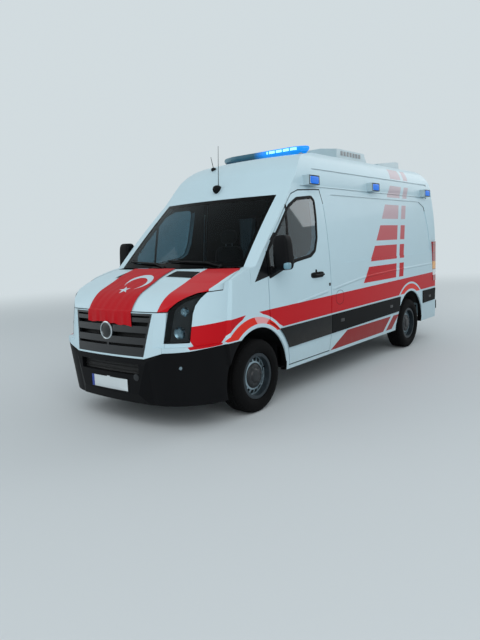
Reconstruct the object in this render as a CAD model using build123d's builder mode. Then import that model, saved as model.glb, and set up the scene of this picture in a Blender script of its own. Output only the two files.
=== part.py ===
"""High-roof panel-van ambulance, in millimetres. X points to its left, the nose faces -Y, Z is up and the
wheels stand on Z = 0. The body is one smooth form, hollowed to its wall thickness and split where the real
panels meet, so that each panel's skin runs on into the next."""
from build123d import *
import os

# Overall sizes
LENGTH = 5905.0
WHEELBASE = 3665.0
FRONT_OVERHANG = 998.0
HALF_WIDTH = 985.0
ROOF_TOP = 2680.0
TRACK = 1712.0

# Thicknesses, gaps and clearances
WALL = 60.0
LID_THICKNESS = 28.0
TRIM = 11.0
GLASS = 5.0
GLASS_INSET = 2.0
GLASS_BORDER = 22.0
GLASS_FIT = 1.0
PANEL_GAP = 4.0
DOOR_GAP = 12.0
LAMP_GAP = 3.0
HOOD_GAP = 8.0
HOOD_REAR_GAP = 14.0
BEARING_FIT = 0.05
PRESSED = 7.0

# Heights of the body's lines
BASE = -200.0
SILL_LOW = 315.0
DOOR_LOW = 362.0
FLOOR_LOW = 600.0
FLOOR_THICKNESS = 60.0
GRILLE_TOP = 1043.0
SCREEN_LOW = 1384.0
COWL_TOP = 1362.0
SCREEN_TOP = 2075.0
HEADER_LOW = 2083.0
GUTTER = 2175.0
REAR_DOOR_LOW = 575.0
REAR_DOOR_TOP = 2400.0
REAR_FACE = 2852.0

# Front corners seen from above, as X and Y: where the round starts, bulges and ends
NOSE_LEDGE = 752.0
CORNERS = (  # start, bulge, end, how far the corner leans back for each millimetre up or down
    ((520.0, -2905.0), (800.0, -2722.0), (955.0, -2400.0), Vector(0, 0.15, 1)),
    ((500.0, -2936.0), (820.0, -2768.0), (966.0, -2420.0), Vector(0, 0.14, -1)),
)

# Wheels and running gear
TYRE_RADIUS = 350.0
TYRE_WIDTH = 235.0
RIM_SEAT = 200.0
RIM_FLANGE = 218.0
RIM_WIDTH = 190.0
VENTS = 10
ARCH_RADIUS = 465.0
ARCH_LIP = 52.0
LINER = 10.0
SPINDLE_RADIUS = 33.0
SPINDLE_OUT = 60.0
KINGPIN_X = 760.0
KINGPIN_RADIUS = 14.0
KNUCKLE_RADIUS = 30.0
ARM_LOW = 200.0
ARM_HIGH = 464.0
RAIL_X = 410.0
RAIL_WIDTH = 60.0
RAIL_HEIGHT = 130.0
RAIL_FRONT = -2650.0
RAIL_REAR = 2785.0
PLATE_THICKNESS = 8.0

# Doors and lid
REAR_HINGE_X = 800.0
REAR_HINGE_OUT = 10.0
REAR_HINGES = (760.0, 1400.0, 2100.0)
HINGE_LENGTH = 70.0
HINGE_END = 30.0
HINGE_PIN = 6.0
HINGE_BARREL = 9.0
WING_END = -1769.0
FIREWALL_Y = -1840.0
BULKHEAD_Y = -520.0
SHEET = 30.0

# Steering wheel
STEERING_CENTRE = (400.0, -1316.0, 1231.0)
STEERING_AXIS = (0.0, 0.926, 0.378)
STEERING_RADIUS = 195.0
STEERING_GRIP = 14.0
COLUMN_RADIUS = 12.0

NOSE = -LENGTH / 2
TAIL = LENGTH / 2
FRONT_AXLE = NOSE + FRONT_OVERHANG
REAR_AXLE = FRONT_AXLE + WHEELBASE
NOSE_CENTRE = 1500.0
NOSE_RADIUS = NOSE_CENTRE - NOSE
FLOOR_TOP = FLOOR_LOW + FLOOR_THICKNESS
WHEEL_X = TRACK / 2
WIDE = HALF_WIDTH + 215.0
FAR = 4000.0

NOSE_PLANE = Plane(origin=(0, NOSE_CENTRE, 0), x_dir=(0, -1, 0), z_dir=(-1, 0, 0))
SIDE = Plane.YZ
FRONT = Plane.XZ
ABOVE = Plane.XY


def nose_corners(inset):
    """The rounded front corners: one outline above the ledge under the lamps, leaning back as it rises, and
    a fuller one below it, leaning back as it falls."""
    with BuildPart() as corners:
        for start, bulge, end, lean in CORNERS:
            with BuildSketch(ABOVE.offset(NOSE_LEDGE - inset)):
                with BuildLine():
                    Polyline((0, start[1] - 70), (start[0] - 130, start[1] - 65), start)
                    ThreePointArc(start, bulge, end)
                    Polyline(end, (WIDE + 100, -2100), (WIDE + 100, FAR), (0, FAR))
                    mirror(about=Plane.YZ)
                make_face()
                if inset:
                    offset(amount=-inset, kind=Kind.ARC)
            extrude(amount=2200 * lean.length, dir=lean)
    return corners.part


def envelope(inset):
    """The whole body's outer form, drawn in by an inset: the nose profile turned about an axis behind the cab,
    cut by the cross-section, the plan outline, the front corners and the tail."""
    with BuildPart() as body:
        with BuildSketch(NOSE_PLANE):
            with BuildLine():
                Polyline((0, ROOF_TOP), (0, BASE), (NOSE_RADIUS - 50, BASE), (NOSE_RADIUS - 50, 230),
                         (NOSE_RADIUS, 330), (NOSE_RADIUS, 600), (NOSE_RADIUS - 8, 655),
                         (NOSE_RADIUS - 68, GRILLE_TOP), (4366, 1056))
                ThreePointArc((4366, 1056), (4290, 1136), (4155, 1209))
                Line((4155, 1209), (3983, 1269))
                ThreePointArc((3983, 1269), (3815, 1330), (3640, 1376))
                Line((3640, 1376), (3585, SCREEN_LOW))
                ThreePointArc((3585, SCREEN_LOW), (3246, 1737), (2892, SCREEN_TOP))
                Line((2892, SCREEN_TOP), (2640, 2355))
                ThreePointArc((2640, 2355), (2430, 2494), (2150, 2565))
                Line((2150, 2565), (1450, ROOF_TOP))
                Line((1450, ROOF_TOP), (0, ROOF_TOP))
            make_face()
            if inset:
                offset(amount=-inset, kind=Kind.INTERSECTION)
                with BuildLine():
                    Polyline((0, ROOF_TOP - inset), (0, BASE + inset), (500, BASE + inset),
                             (500, ROOF_TOP - inset), close=True)
                make_face()
                with Locations((NOSE_RADIUS, 0)):
                    Rectangle(2 * NOSE_RADIUS, 4 * FAR, mode=Mode.INTERSECT)
        revolve(axis=Axis((0, NOSE_CENTRE, 0), (0, 0, 1)))
        with BuildSketch(FRONT.offset(-FAR)):
            with BuildLine():
                Polyline((0, BASE), (HALF_WIDTH - 30, BASE), (HALF_WIDTH - 27, 320), (HALF_WIDTH, 560),
                         (HALF_WIDTH, 1000))
                ThreePointArc((HALF_WIDTH, 1000), (HALF_WIDTH - 20, 1500), (HALF_WIDTH - 80, 2000))
                Line((HALF_WIDTH - 80, 2000), (HALF_WIDTH - 111, 2190))
                ThreePointArc((HALF_WIDTH - 111, 2190), (HALF_WIDTH - 179, 2440), (HALF_WIDTH - 345, 2598))
                ThreePointArc((HALF_WIDTH - 345, 2598), (325, 2666), (0, 2690))
                mirror(about=Plane.YZ)
            make_face()
            if inset:
                offset(amount=-inset, kind=Kind.INTERSECTION)
        extrude(amount=2 * FAR, mode=Mode.INTERSECT)
        with BuildSketch(ABOVE.offset(BASE - 100)):
            with BuildLine():
                Polyline((0, -3100), (HALF_WIDTH + 20, -3100), (HALF_WIDTH, -2150),
                         (HALF_WIDTH, REAR_FACE - 160))
                RadiusArc((HALF_WIDTH, REAR_FACE - 160), (HALF_WIDTH - 160, REAR_FACE), -160)
                Line((HALF_WIDTH - 160, REAR_FACE), (0, REAR_FACE))
                mirror(about=Plane.YZ)
            make_face()
            if inset:
                offset(amount=-inset, kind=Kind.ARC)
        extrude(amount=FAR, mode=Mode.INTERSECT)
        add(nose_corners(inset), mode=Mode.INTERSECT)
        with BuildSketch(SIDE.offset(-FAR / 2)):
            with BuildLine():
                Polyline((2300, 2720), (-3300, 2720), (-3300, BASE - 50), (REAR_FACE, BASE - 50),
                         (REAR_FACE, 1300), (REAR_FACE - 16, 2350))
                ThreePointArc((REAR_FACE - 16, 2350), (REAR_FACE - 56, 2560), (REAR_FACE - 232, 2668))
                Line((REAR_FACE - 232, 2668), (2300, 2720))
            make_face()
            if inset:
                offset(amount=-inset, kind=Kind.INTERSECTION)
        extrude(amount=FAR, mode=Mode.INTERSECT)
    return body.part


def cutter(points, plane, low, high, grow=0.0, corner=0.0):
    """A straight-sided block: an outline on a plane, grown all round and rounded at its corners, pushed from
    one level to another."""
    with BuildPart() as body:
        with BuildSketch(plane.offset(low)) as outline:
            with BuildLine():
                Polyline(*points, close=True)
            make_face()
            if grow:
                offset(amount=grow, kind=Kind.INTERSECTION)
            if corner:
                fillet(outline.vertices(), radius=corner)
        extrude(amount=high - low)
    return body.part


def block(x, y, z):
    """A box from its low and high values along each axis."""
    with BuildPart() as body:
        with Locations(((x[0] + x[1]) / 2, (y[0] + y[1]) / 2, (z[0] + z[1]) / 2)):
            Box(abs(x[1] - x[0]), abs(y[1] - y[0]), abs(z[1] - z[0]))
    return body.part


def rod(start, end, radius):
    """A round bar between two points."""
    line = Vector(*end) - Vector(*start)
    with BuildPart() as body:
        with BuildSketch(Plane(origin=start, z_dir=line.normalized())):
            Circle(radius)
        extrude(amount=line.length)
    return body.part


def arch(axle_y, radius, near, far):
    """The round of a wheel arch, from one X to another."""
    return rod((near, axle_y, TYRE_RADIUS), (far, axle_y, TYRE_RADIUS), radius)


def hinge_rod(low, high, radius):
    """A round bar on the rear door's hinge line, between two heights."""
    y = REAR_FACE + REAR_HINGE_OUT
    return rod((REAR_HINGE_X, y, low), (REAR_HINGE_X, y, high), radius)


def left_prism(points, **ways):
    """A cutter through the left side only."""
    return cutter(points, SIDE, 300, WIDE, **ways)


def front_prism(points, **ways):
    """A cutter through the front, as deep as the cab."""
    return cutter(points, FRONT, 900, 3300, **ways)


# Outlines seen from the left, as Y and Z
DOOR = [(-1757, DOOR_LOW), (-1757, 1545), (-1600, 1687), (-1445, 1841), (-1280, 2003), (-1195, 2075),
        (-1060, 2117), (-744, 2136), (-625, 2139), (-592, 1990), (-586, 1700), (-580, 928), (-612, DOOR_LOW)]
WINDOW = [(-1742, 1255), (-1742, 1530), (-1590, 1672), (-1420, 1838), (-1290, 1962), (-1113, 2045),
          (-808, 2071), (-755, 2024), (-766, 1849), (-802, 1617), (-868, 1480), (-965, 1427), (-1265, 1391)]
SLIDER = [(-540, DOOR_LOW), (-540, 2130), (700, 2130), (700, DOOR_LOW)]
SLIDER_WINDOW = [(-380, 1360), (-380, 1980), (540, 1980), (540, 1360)]
SIDE_PRESSING = [(-275, 1330), (-400, 2100), (2270, 2100), (2440, 2030), (2500, 1774), (2540, 1345)]
WING_EDGE = [(-3200, BASE), (-3200, 1500), (-2040, 1500), (-2040, 1221), (WING_END, 1243), (WING_END, BASE)]
MOULDING = [(-1600, 540), (-1600, 755), (1340, 772), (1300, 575)]
MOULDING_REAR = [(2180, 590), (2180, 775), (2700, 778), (2680, 600)]
# Outlines seen from the front, as X and Z
SCREEN = [(-858, SCREEN_LOW), (858, SCREEN_LOW), (776, SCREEN_TOP), (-776, SCREEN_TOP)]
LAMP = [(642, 786), (654, 952), (664, 1045), (680, 1074), (730, 1124), (781, 1161), (842, 1191), (884, 1197),
        (856, 1154), (830, 1092), (819, 1023), (811, 783)]
WING_CORNER = [(811, 900), (819, 1023), (830, 1092), (856, 1154), (884, 1197), (WIDE, 1230), (WIDE, 900)]
GRILLE = [(-458, 665), (-490, 844), (-531, 1037), (531, 1037), (490, 844), (458, 665)]
BUMPER = [(-WIDE, 738), (-965, 732), (-838, 712), (-659, 705), (-463, 646), (463, 646), (659, 705),
          (838, 712), (965, 732), (WIDE, 738), (WIDE, 230), (-WIDE, 230)]
REAR_WINDOW = [(120, 1420), (120, 2060), (660, 2060), (690, 1420)]
# Outline seen from above, as X and Y
HOOD_EDGE = [(600, -3000), (600, -2862), (684, -2786), (734, -2741), (785, -2689), (846, -2612), (888, -2540),
             (928, -2444), (945, -2307), (893, -2100), (868, -2046), (600, -2100), (300, -2131)]
HOOD = [(0, -3000)] + HOOD_EDGE + [(0, -2142)] + [(-x, y) for x, y in reversed(HOOD_EDGE)]
SLATS = ((682, 745), (768, 828), (868, 928), (962, 1000))  # low and high edge of each grille slat

SKIN = envelope(0)
LINING = envelope(WALL)
CABIN = envelope(WALL + 2)
SHELL = SKIN - LINING
LID_SHELL = SKIN - envelope(LID_THICKNESS)
TRIM_SHELL = envelope(-TRIM) - SKIN
PRESSED_SHELL = SKIN - envelope(PRESSED)
GLASS_REBATE = SKIN - envelope(GLASS_INSET + GLASS)
GLASS_LAYER = GLASS_REBATE - (SKIN - envelope(GLASS_INSET))

pieces = {}


def keep(name, piece):
    """Labels a finished piece and keeps it under its name."""
    piece.label = name
    pieces[name] = piece


def keep_both(name, left):
    """Keeps a left piece and its mirror image under a name for each side."""
    keep(name + "_left", left)
    keep(name + "_right", mirror(left, about=Plane.YZ))


def pane(outline):
    """A bonded glass pane in the opening of an outline's cutter, a little smaller than its rebate."""
    with BuildPart() as glass:
        add(GLASS_LAYER)
        add(outline, mode=Mode.INTERSECT)
    return glass.part


def cut_window(points, region):
    """Cuts a window's rebate and its opening out of the panel that is open."""
    add(region(points) & GLASS_REBATE, mode=Mode.SUBTRACT)
    add(region(points, grow=-GLASS_BORDER), mode=Mode.SUBTRACT)


# Shared openings
FRONT_ARCH = arch(FRONT_AXLE, ARCH_RADIUS, 500, WIDE)
REAR_ARCH = arch(REAR_AXLE, ARCH_RADIUS + 5, 600, WIDE)
LAMP_HOLE = front_prism(LAMP, grow=LAMP_GAP)
HOOD_HOLE = cutter(HOOD, ABOVE, 900, 1500, grow=HOOD_GAP)
COWL_ZONE = block((-864, 864), (-2204, -1796), (1000, SCREEN_LOW))
HEADER = block((-795, 795), (-2200, -900), (HEADER_LOW, 2600))
REAR_PORTAL = block((-REAR_HINGE_X, REAR_HINGE_X), (2600, 3000), (REAR_DOOR_LOW - DOOR_GAP,
                                                                  REAR_DOOR_TOP + DOOR_GAP))

# Roof with the header over the windscreen and over the rear doors
with BuildPart() as roof:
    add(SHELL)
    add(block((-WIDE, WIDE), (-3000, 3000), (GUTTER, 2800)) + HEADER, mode=Mode.INTERSECT)
    add(front_prism(SCREEN), mode=Mode.SUBTRACT)
    add(REAR_PORTAL, mode=Mode.SUBTRACT)
    for side in (1, -1):
        add(PRESSED_SHELL & block((side * 600, side * WIDE), (-700, 2680), (2352, 2372)), mode=Mode.SUBTRACT)
keep("roof", roof.part)

# Body sides, each with its door opening, pillars, sill and rear arch
with BuildPart() as body_side:
    add(SHELL)
    add(block((0, WIDE), (-2036, 3000), (SILL_LOW, GUTTER)), mode=Mode.INTERSECT)
    for opening in (HEADER, left_prism(WING_EDGE), left_prism(DOOR, grow=DOOR_GAP), REAR_ARCH, REAR_PORTAL,
                    arch(FRONT_AXLE, ARCH_RADIUS + ARCH_LIP + PANEL_GAP, 300, WIDE), COWL_ZONE,
                    front_prism(SCREEN) & GLASS_REBATE, front_prism(SCREEN, grow=-GLASS_BORDER),
                    left_prism(SIDE_PRESSING, corner=25) & PRESSED_SHELL,
                    PRESSED_SHELL & block((600, WIDE), (-1000, 2600), (GUTTER - 16, GUTTER))):
        add(opening, mode=Mode.SUBTRACT)
    for height in REAR_HINGES:
        top = height + HINGE_LENGTH
        for low, high in ((height - HINGE_END, height - 1), (top + 1, top + HINGE_END)):
            add(hinge_rod(low, high, HINGE_BARREL))
            add(block((REAR_HINGE_X, REAR_HINGE_X + 25), (REAR_FACE - 3, REAR_FACE + 5), (low, high)))
        add(hinge_rod(height - HINGE_END, top + HINGE_END, HINGE_PIN))
side_panel = body_side.part.solids().sort_by(SortBy.VOLUME)[-1]
keep("body_side_left", side_panel)

with BuildPart() as body_side_right:
    add(mirror(side_panel, about=Plane.YZ))
    add(cutter(SLIDER, SIDE, -WIDE, -300, grow=PANEL_GAP), mode=Mode.SUBTRACT)
keep("body_side_right", body_side_right.part)

# Sliding door on the right, with its window
with BuildPart() as sliding_door:
    add(SHELL)
    add(left_prism(SLIDER), mode=Mode.INTERSECT)
    add(left_prism(SIDE_PRESSING, corner=25) & PRESSED_SHELL, mode=Mode.SUBTRACT)
    cut_window(SLIDER_WINDOW, left_prism)
    add(TRIM_SHELL & left_prism(MOULDING) & left_prism(SLIDER))
keep("sliding_door", mirror(sliding_door.part, about=Plane.YZ))
keep("sliding_door_glass", mirror(pane(left_prism(SLIDER_WINDOW, grow=-GLASS_FIT)), about=Plane.YZ))

# Windscreen
keep("windscreen", pane(front_prism(SCREEN, grow=-GLASS_FIT)))

# Front doors, with the moulding that crosses them
with BuildPart() as door_front:
    add(SHELL)
    add(left_prism(DOOR), mode=Mode.INTERSECT)
    cut_window(WINDOW, left_prism)
    add(TRIM_SHELL & left_prism(MOULDING) & left_prism(DOOR))
    add(arch(FRONT_AXLE, ARCH_RADIUS + ARCH_LIP + DOOR_GAP, 300, WIDE), mode=Mode.SUBTRACT)
keep_both("door_front", door_front.part.solids().sort_by(SortBy.VOLUME)[-1])
keep_both("door_front_glass", pane(left_prism(WINDOW, grow=-GLASS_FIT)))

# Mirrors: a rounded head on an arm from the door's front corner
with BuildPart() as mirror_head:
    with BuildSketch(FRONT.offset(1640)):
        with BuildLine():
            Polyline((1028, 1330), (1040, 1655), (1172, 1655), (1213, 1330), close=True)
        make_face()
    extrude(amount=112)
    fillet(mirror_head.edges().filter_by(Axis.Y), radius=32)
    fillet(mirror_head.faces().sort_by(Axis.Y)[0].edges(), radius=30)
    add(block((940, 1075), (-1738, -1668), (1282, 1400)) - SKIN)
keep_both("mirror", mirror_head.part)

# Rear doors: a thin skin inside a thick rim, and barrels on the hinge line
with BuildPart() as rear_door:
    add(SHELL)
    add(block((5, REAR_HINGE_X - DOOR_GAP), (2600, 3000), (REAR_DOOR_LOW, REAR_DOOR_TOP)), mode=Mode.INTERSECT)
    cut_window(REAR_WINDOW, lambda points, grow=0.0: cutter(points, FRONT, -3000, -2600, grow=grow, corner=40))
    for height in REAR_HINGES:
        add(hinge_rod(height, height + HINGE_LENGTH, HINGE_BARREL))
        add(block((REAR_HINGE_X - 60, REAR_HINGE_X), (REAR_FACE - 3, REAR_FACE + 5),
                  (height, height + HINGE_LENGTH)))
        add(hinge_rod(height - 1, height + HINGE_LENGTH + 1, HINGE_PIN + BEARING_FIT), mode=Mode.SUBTRACT)
keep_both("rear_door", rear_door.part)
keep_both("rear_door_glass", pane(cutter(REAR_WINDOW, FRONT, -3000, -2600, grow=-GLASS_FIT, corner=39)
                                  ))

# Wings with the lip round the arch and the liner over the wheel
with BuildPart() as wing:
    add(SHELL)
    add(left_prism(WING_EDGE) + arch(FRONT_AXLE, ARCH_RADIUS + ARCH_LIP, 300, WIDE), mode=Mode.INTERSECT)
    add(block((652, WIDE), (-3000, -1400), (SILL_LOW, 1400)), mode=Mode.INTERSECT)
    for opening in (HOOD_HOLE - front_prism(WING_CORNER), LAMP_HOLE, FRONT_ARCH, COWL_ZONE,
                    front_prism(SCREEN, grow=LAMP_GAP),
                    front_prism(BUMPER, grow=LAMP_GAP) & block((0, WIDE), (-3000, FRONT_AXLE), (0, 800))):
        add(opening, mode=Mode.SUBTRACT)
    add((arch(FRONT_AXLE, ARCH_RADIUS + LINER, 545, 930) & block((500, 1000), (-3000, 0), (560, 1400)) & LINING)
        - FRONT_ARCH)
keep_both("wing", wing.part)

# Hood, which ends where the wing comes up beside the lamp
with BuildPart() as hood:
    add(LID_SHELL)
    add(cutter(HOOD, ABOVE, GRILLE_TOP + HOOD_GAP, 1500), mode=Mode.INTERSECT)
    for opening in (front_prism(LAMP, grow=HOOD_GAP), front_prism(WING_CORNER, grow=HOOD_GAP)):
        add(opening, mode=Mode.SUBTRACT)
        add(mirror(opening, about=Plane.YZ), mode=Mode.SUBTRACT)
keep("hood", hood.part)

# Cowl between the hood and the windscreen, sunk below the hood's rear edge
with BuildPart() as cowl:
    add(SHELL)
    add(block((-860, 860), (-2200, -1800), (1150, COWL_TOP)), mode=Mode.INTERSECT)
    add(cutter(HOOD, ABOVE, 900, 1500, grow=HOOD_REAR_GAP), mode=Mode.SUBTRACT)
keep("cowl", cowl.part.solids().sort_by(SortBy.VOLUME)[-1])

# Front panel round the grille
with BuildPart() as front_panel:
    add(SHELL)
    add(block((-649, 649), (-3000, -2300), (600, GRILLE_TOP)), mode=Mode.INTERSECT)
    for opening in (LAMP_HOLE, mirror(LAMP_HOLE, about=Plane.YZ), front_prism(BUMPER, grow=LAMP_GAP),
                    front_prism(GRILLE)):
        add(opening, mode=Mode.SUBTRACT)
keep("front_panel", front_panel.part)

# Grille: a frame, four broad slats that lean with the nose, and a plain round badge
with BuildPart() as grille:
    add(LID_SHELL)
    add(front_prism(GRILLE, grow=-GLASS_FIT), mode=Mode.INTERSECT)
    with BuildPart(mode=Mode.PRIVATE) as bays:
        add(front_prism(GRILLE, grow=-20))
        for low, high in SLATS:
            add(block((-600, 600), (-3000, -2500), (low, high)), mode=Mode.SUBTRACT)
        add(block((-12, 12), (-3000, -2500), (600, 1100)), mode=Mode.SUBTRACT)
    add(bays.part, mode=Mode.SUBTRACT)
    with BuildSketch(FRONT.offset(2875)):
        with Locations((-25, 872)):
            Circle(84)
    extrude(amount=38)
keep("grille", grille.part)

# Headlights
with BuildPart() as headlights:
    add(SHELL)
    add(front_prism(LAMP), mode=Mode.INTERSECT)
    mirror(about=Plane.YZ)
keep("headlights", headlights.part)

# Front bumper with its lower air intake and the bed of the number plate
with BuildPart() as front_bumper:
    add(SHELL)
    add(front_prism(BUMPER) & block((-WIDE, WIDE), (-3000, -2100), (0, 800)), mode=Mode.INTERSECT)
    for opening in (FRONT_ARCH, mirror(FRONT_ARCH, about=Plane.YZ),
                    block((-400, 400), (-3000, -2300), (500, 600)),
                    block((-264, 264), (-3000, -2800), (332, 462)) & (SKIN - envelope(PLATE_THICKNESS))):
        add(opening, mode=Mode.SUBTRACT)
keep("front_bumper", front_bumper.part)

with BuildPart() as number_plates:
    add(SKIN - envelope(PLATE_THICKNESS))
    add(block((-262, 262), (-3100, -2800), (334, 460)), mode=Mode.INTERSECT)
keep("number_plates", number_plates.part)

# Rear bumper and step
with BuildPart() as rear_bumper:
    add(block((-930, 930), (REAR_FACE + PANEL_GAP, TAIL), (430, 560)))
    fillet(rear_bumper.edges().filter_by(Axis.Z), radius=40)
    add(block((-700, 700), (REAR_FACE, REAR_FACE + 2 * PANEL_GAP), (440, 550)))
keep("rear_bumper", rear_bumper.part)

# Tail lamps, standing proud of the rear corners
with BuildPart() as tail_lights:
    add(envelope(-PLATE_THICKNESS) - SKIN)
    add(block((830, WIDE), (2600, 3000), (900, 1500)), mode=Mode.INTERSECT)
    mirror(about=Plane.YZ)
keep("tail_lights", tail_lights.part)

# Floor with the rear wheel boxes
with BuildPart() as floor:
    add(LINING)
    add(block((-WIDE, WIDE), (FIREWALL_Y + SHEET, RAIL_REAR), (FLOOR_LOW, FLOOR_TOP)), mode=Mode.INTERSECT)
    for side in (1, -1):
        add(arch(REAR_AXLE, ARCH_RADIUS + 15, side * 560, side * 1000) & LINING
            & block((-WIDE, WIDE), (-3000, 3000), (FLOOR_LOW, 1000)))
    for side in (1, -1):
        add(arch(REAR_AXLE, ARCH_RADIUS + 5, side * 570, side * WIDE), mode=Mode.SUBTRACT)
        add(arch(FRONT_AXLE, ARCH_RADIUS + LINER, side * 500, side * WIDE), mode=Mode.SUBTRACT)
    with Locations(Location((0, 1000, FLOOR_TOP))):
        with GridLocations(360, 1200, 2, 2):
            Hole(radius=5.5)
keep("floor", floor.part)

# Bulkhead behind the seats with its window, and the firewall ahead of the cab
with BuildPart() as bulkhead:
    add(CABIN)
    add(block((-WIDE, WIDE), (BULKHEAD_Y, BULKHEAD_Y + SHEET), (FLOOR_TOP, 2600)), mode=Mode.INTERSECT)
    add(block((-350, 350), (-600, -400), (1400, 1900)), mode=Mode.SUBTRACT)
keep("bulkhead", bulkhead.part)

with BuildPart() as firewall:
    add(CABIN)
    add(block((-840, 840), (FIREWALL_Y, FIREWALL_Y + SHEET), (FLOOR_LOW, 1330)), mode=Mode.INTERSECT)
    for side in (1, -1):
        add(arch(FRONT_AXLE, ARCH_RADIUS + LINER + 2, side * 500, side * 1000), mode=Mode.SUBTRACT)
keep("firewall", firewall.part)

# Chassis rails with crossmembers and the front towing eye
with BuildPart() as chassis_rails:
    for side in (1, -1):
        add(block((side * (RAIL_X - RAIL_WIDTH / 2), side * (RAIL_X + RAIL_WIDTH / 2)), (RAIL_FRONT, RAIL_REAR),
                  (FLOOR_LOW - RAIL_HEIGHT, FLOOR_LOW)))
    for y in (-2600, -1500, -300, 900, 2600):
        add(block((-RAIL_X, RAIL_X), (y - 40, y + 40), (FLOOR_LOW - 60, FLOOR_LOW - 10)))
keep("chassis_rails", chassis_rails.part)

# Engine
with BuildPart() as engine:
    add(block((-330, 330), (-2560, -1900), (480, 1020)))
    chamfer(engine.edges().group_by(Axis.Z)[-1], length=60)
keep("engine", engine.part)

# Front suspension: subframe, lower and upper arms, struts, their towers and the kingpins
with BuildPart() as front_suspension:
    add(block((-RAIL_X - 30, RAIL_X + 30), (FRONT_AXLE - 90, FRONT_AXLE + 90), (ARM_LOW, 290)))
    add(block((-340, 340), (FRONT_AXLE - 60, FRONT_AXLE + 60), (280, FLOOR_LOW - RAIL_HEIGHT)))
    for side in (1, -1):
        arm_end = side * (KINGPIN_X + 26)
        add(block((side * 400, arm_end), (FRONT_AXLE - 26, FRONT_AXLE + 26), (ARM_LOW, ARM_LOW + 36)))
        add(block((side * 620, arm_end), (FRONT_AXLE - 26, FRONT_AXLE + 26), (ARM_HIGH, ARM_HIGH + 26)))
        add(rod((side * 640, FRONT_AXLE, 470), (side * 610, FRONT_AXLE, 780), 26))
        add(rod((side * 610, FRONT_AXLE, 770), (side * 610, FRONT_AXLE, 805), 55))
        add(rod((side * 420, FRONT_AXLE, 250), (side * 620, FRONT_AXLE, 478), 16))
        add(rod((side * KINGPIN_X, FRONT_AXLE, ARM_LOW + 30), (side * KINGPIN_X, FRONT_AXLE, ARM_HIGH + 6),
                KINGPIN_RADIUS))
keep("front_suspension", front_suspension.part)

with BuildPart() as knuckle:
    add(rod((KINGPIN_X, FRONT_AXLE, ARM_LOW + 41), (KINGPIN_X, FRONT_AXLE, ARM_HIGH - 5), KNUCKLE_RADIUS))
    add(rod((KINGPIN_X, FRONT_AXLE, TYRE_RADIUS), (WHEEL_X + SPINDLE_OUT, FRONT_AXLE, TYRE_RADIUS),
            SPINDLE_RADIUS))
    add(rod((KINGPIN_X, FRONT_AXLE, ARM_LOW), (KINGPIN_X, FRONT_AXLE, ARM_HIGH + 36),
            KINGPIN_RADIUS + BEARING_FIT), mode=Mode.SUBTRACT)
keep_both("knuckle", knuckle.part)

# Rear axle with its differential, leaf springs, propeller shaft, exhaust and tank
with BuildPart() as rear_axle:
    add(rod((-790, REAR_AXLE, TYRE_RADIUS), (790, REAR_AXLE, TYRE_RADIUS), 45))
    add(rod((-WHEEL_X - SPINDLE_OUT, REAR_AXLE, TYRE_RADIUS), (WHEEL_X + SPINDLE_OUT, REAR_AXLE, TYRE_RADIUS),
            SPINDLE_RADIUS))
    with Locations((0, REAR_AXLE, TYRE_RADIUS)):
        Sphere(130)
keep("rear_axle", rear_axle.part)

with BuildPart() as leaf_springs:
    for side in (1, -1):
        add(block((side * 470, side * 540), (REAR_AXLE - 700, REAR_AXLE + 700), (398, 425)))
        for y in (-700, 660):
            add(block((side * 441, side * 540), (REAR_AXLE + y, REAR_AXLE + y + 40), (398, 520)))
keep("leaf_springs", leaf_springs.part)

with BuildPart() as propshaft:
    add(rod((0, -1890, 500), (0, REAR_AXLE - 131, 360), 35))
keep("propshaft", propshaft.part)

with BuildPart() as exhaust:
    add(rod((-250, -1890, 420), (-250, 1100, 420), 30))
    add(rod((-250, -100, 420), (-250, 600, 420), 90))
keep("exhaust", exhaust.part)

with BuildPart() as fuel_tank:
    add(block((480, 880), (-500, 600), (380, 590)))
    fillet(fuel_tank.edges().filter_by(Axis.Y), radius=50)
keep("fuel_tank", fuel_tank.part)

# Dashboard with the steering column
steering_plane = Plane(origin=STEERING_CENTRE, z_dir=STEERING_AXIS)
column_low = steering_plane.origin - steering_plane.z_dir * 120
column_seat = steering_plane.origin - steering_plane.z_dir * 6
column_top = steering_plane.origin + steering_plane.z_dir * 20
with BuildPart() as dashboard:
    with BuildSketch(SIDE.offset(-780)):
        with BuildLine():
            Polyline((-1800, 980), (-1800, 1290), (-1640, 1290), (-1480, 1250), (-1430, 1150), (-1430, 980),
                     close=True)
        make_face()
    extrude(amount=1560)
    add(envelope(WALL + 20), mode=Mode.INTERSECT)
    add(rod(tuple(column_low), tuple(column_seat), 26))
    add(rod(tuple(column_seat), tuple(column_top), COLUMN_RADIUS))
keep("dashboard", dashboard.part)

# Seats: a box, a cushion, a back and a head rest each
with BuildPart() as seats:
    for x in (400, -400):
        add(block((x - 180, x + 180), (-1080, -680), (FLOOR_TOP, 980)))
        add(block((x - 240, x + 240), (-1150, -620), (960, 1060)))
        add(block((x - 230, x + 230), (-720, -600), (1040, 1590)))
        add(block((x - 130, x + 130), (-700, -620), (1570, 1780)))
keep("seats", seats.part)

with BuildPart() as steering_wheel:
    with BuildSketch(steering_plane):
        Circle(34)
    extrude(amount=40)
    with BuildSketch(steering_plane.offset(10)):
        with PolarLocations(STEERING_RADIUS / 2, 3, start_angle=90):
            Rectangle(STEERING_RADIUS - 5, 26)
    extrude(amount=14)
    with BuildSketch(Plane(origin=steering_plane.origin, x_dir=steering_plane.x_dir,
                           z_dir=steering_plane.y_dir)):
        with Locations((STEERING_RADIUS, -17)):
            Circle(STEERING_GRIP)
    revolve(axis=Axis(steering_plane.origin, steering_plane.z_dir))
    with BuildSketch(steering_plane.offset(-1)):
        Circle(COLUMN_RADIUS + BEARING_FIT)
    extrude(amount=25, mode=Mode.SUBTRACT)
keep("steering_wheel", steering_wheel.part)


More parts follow.
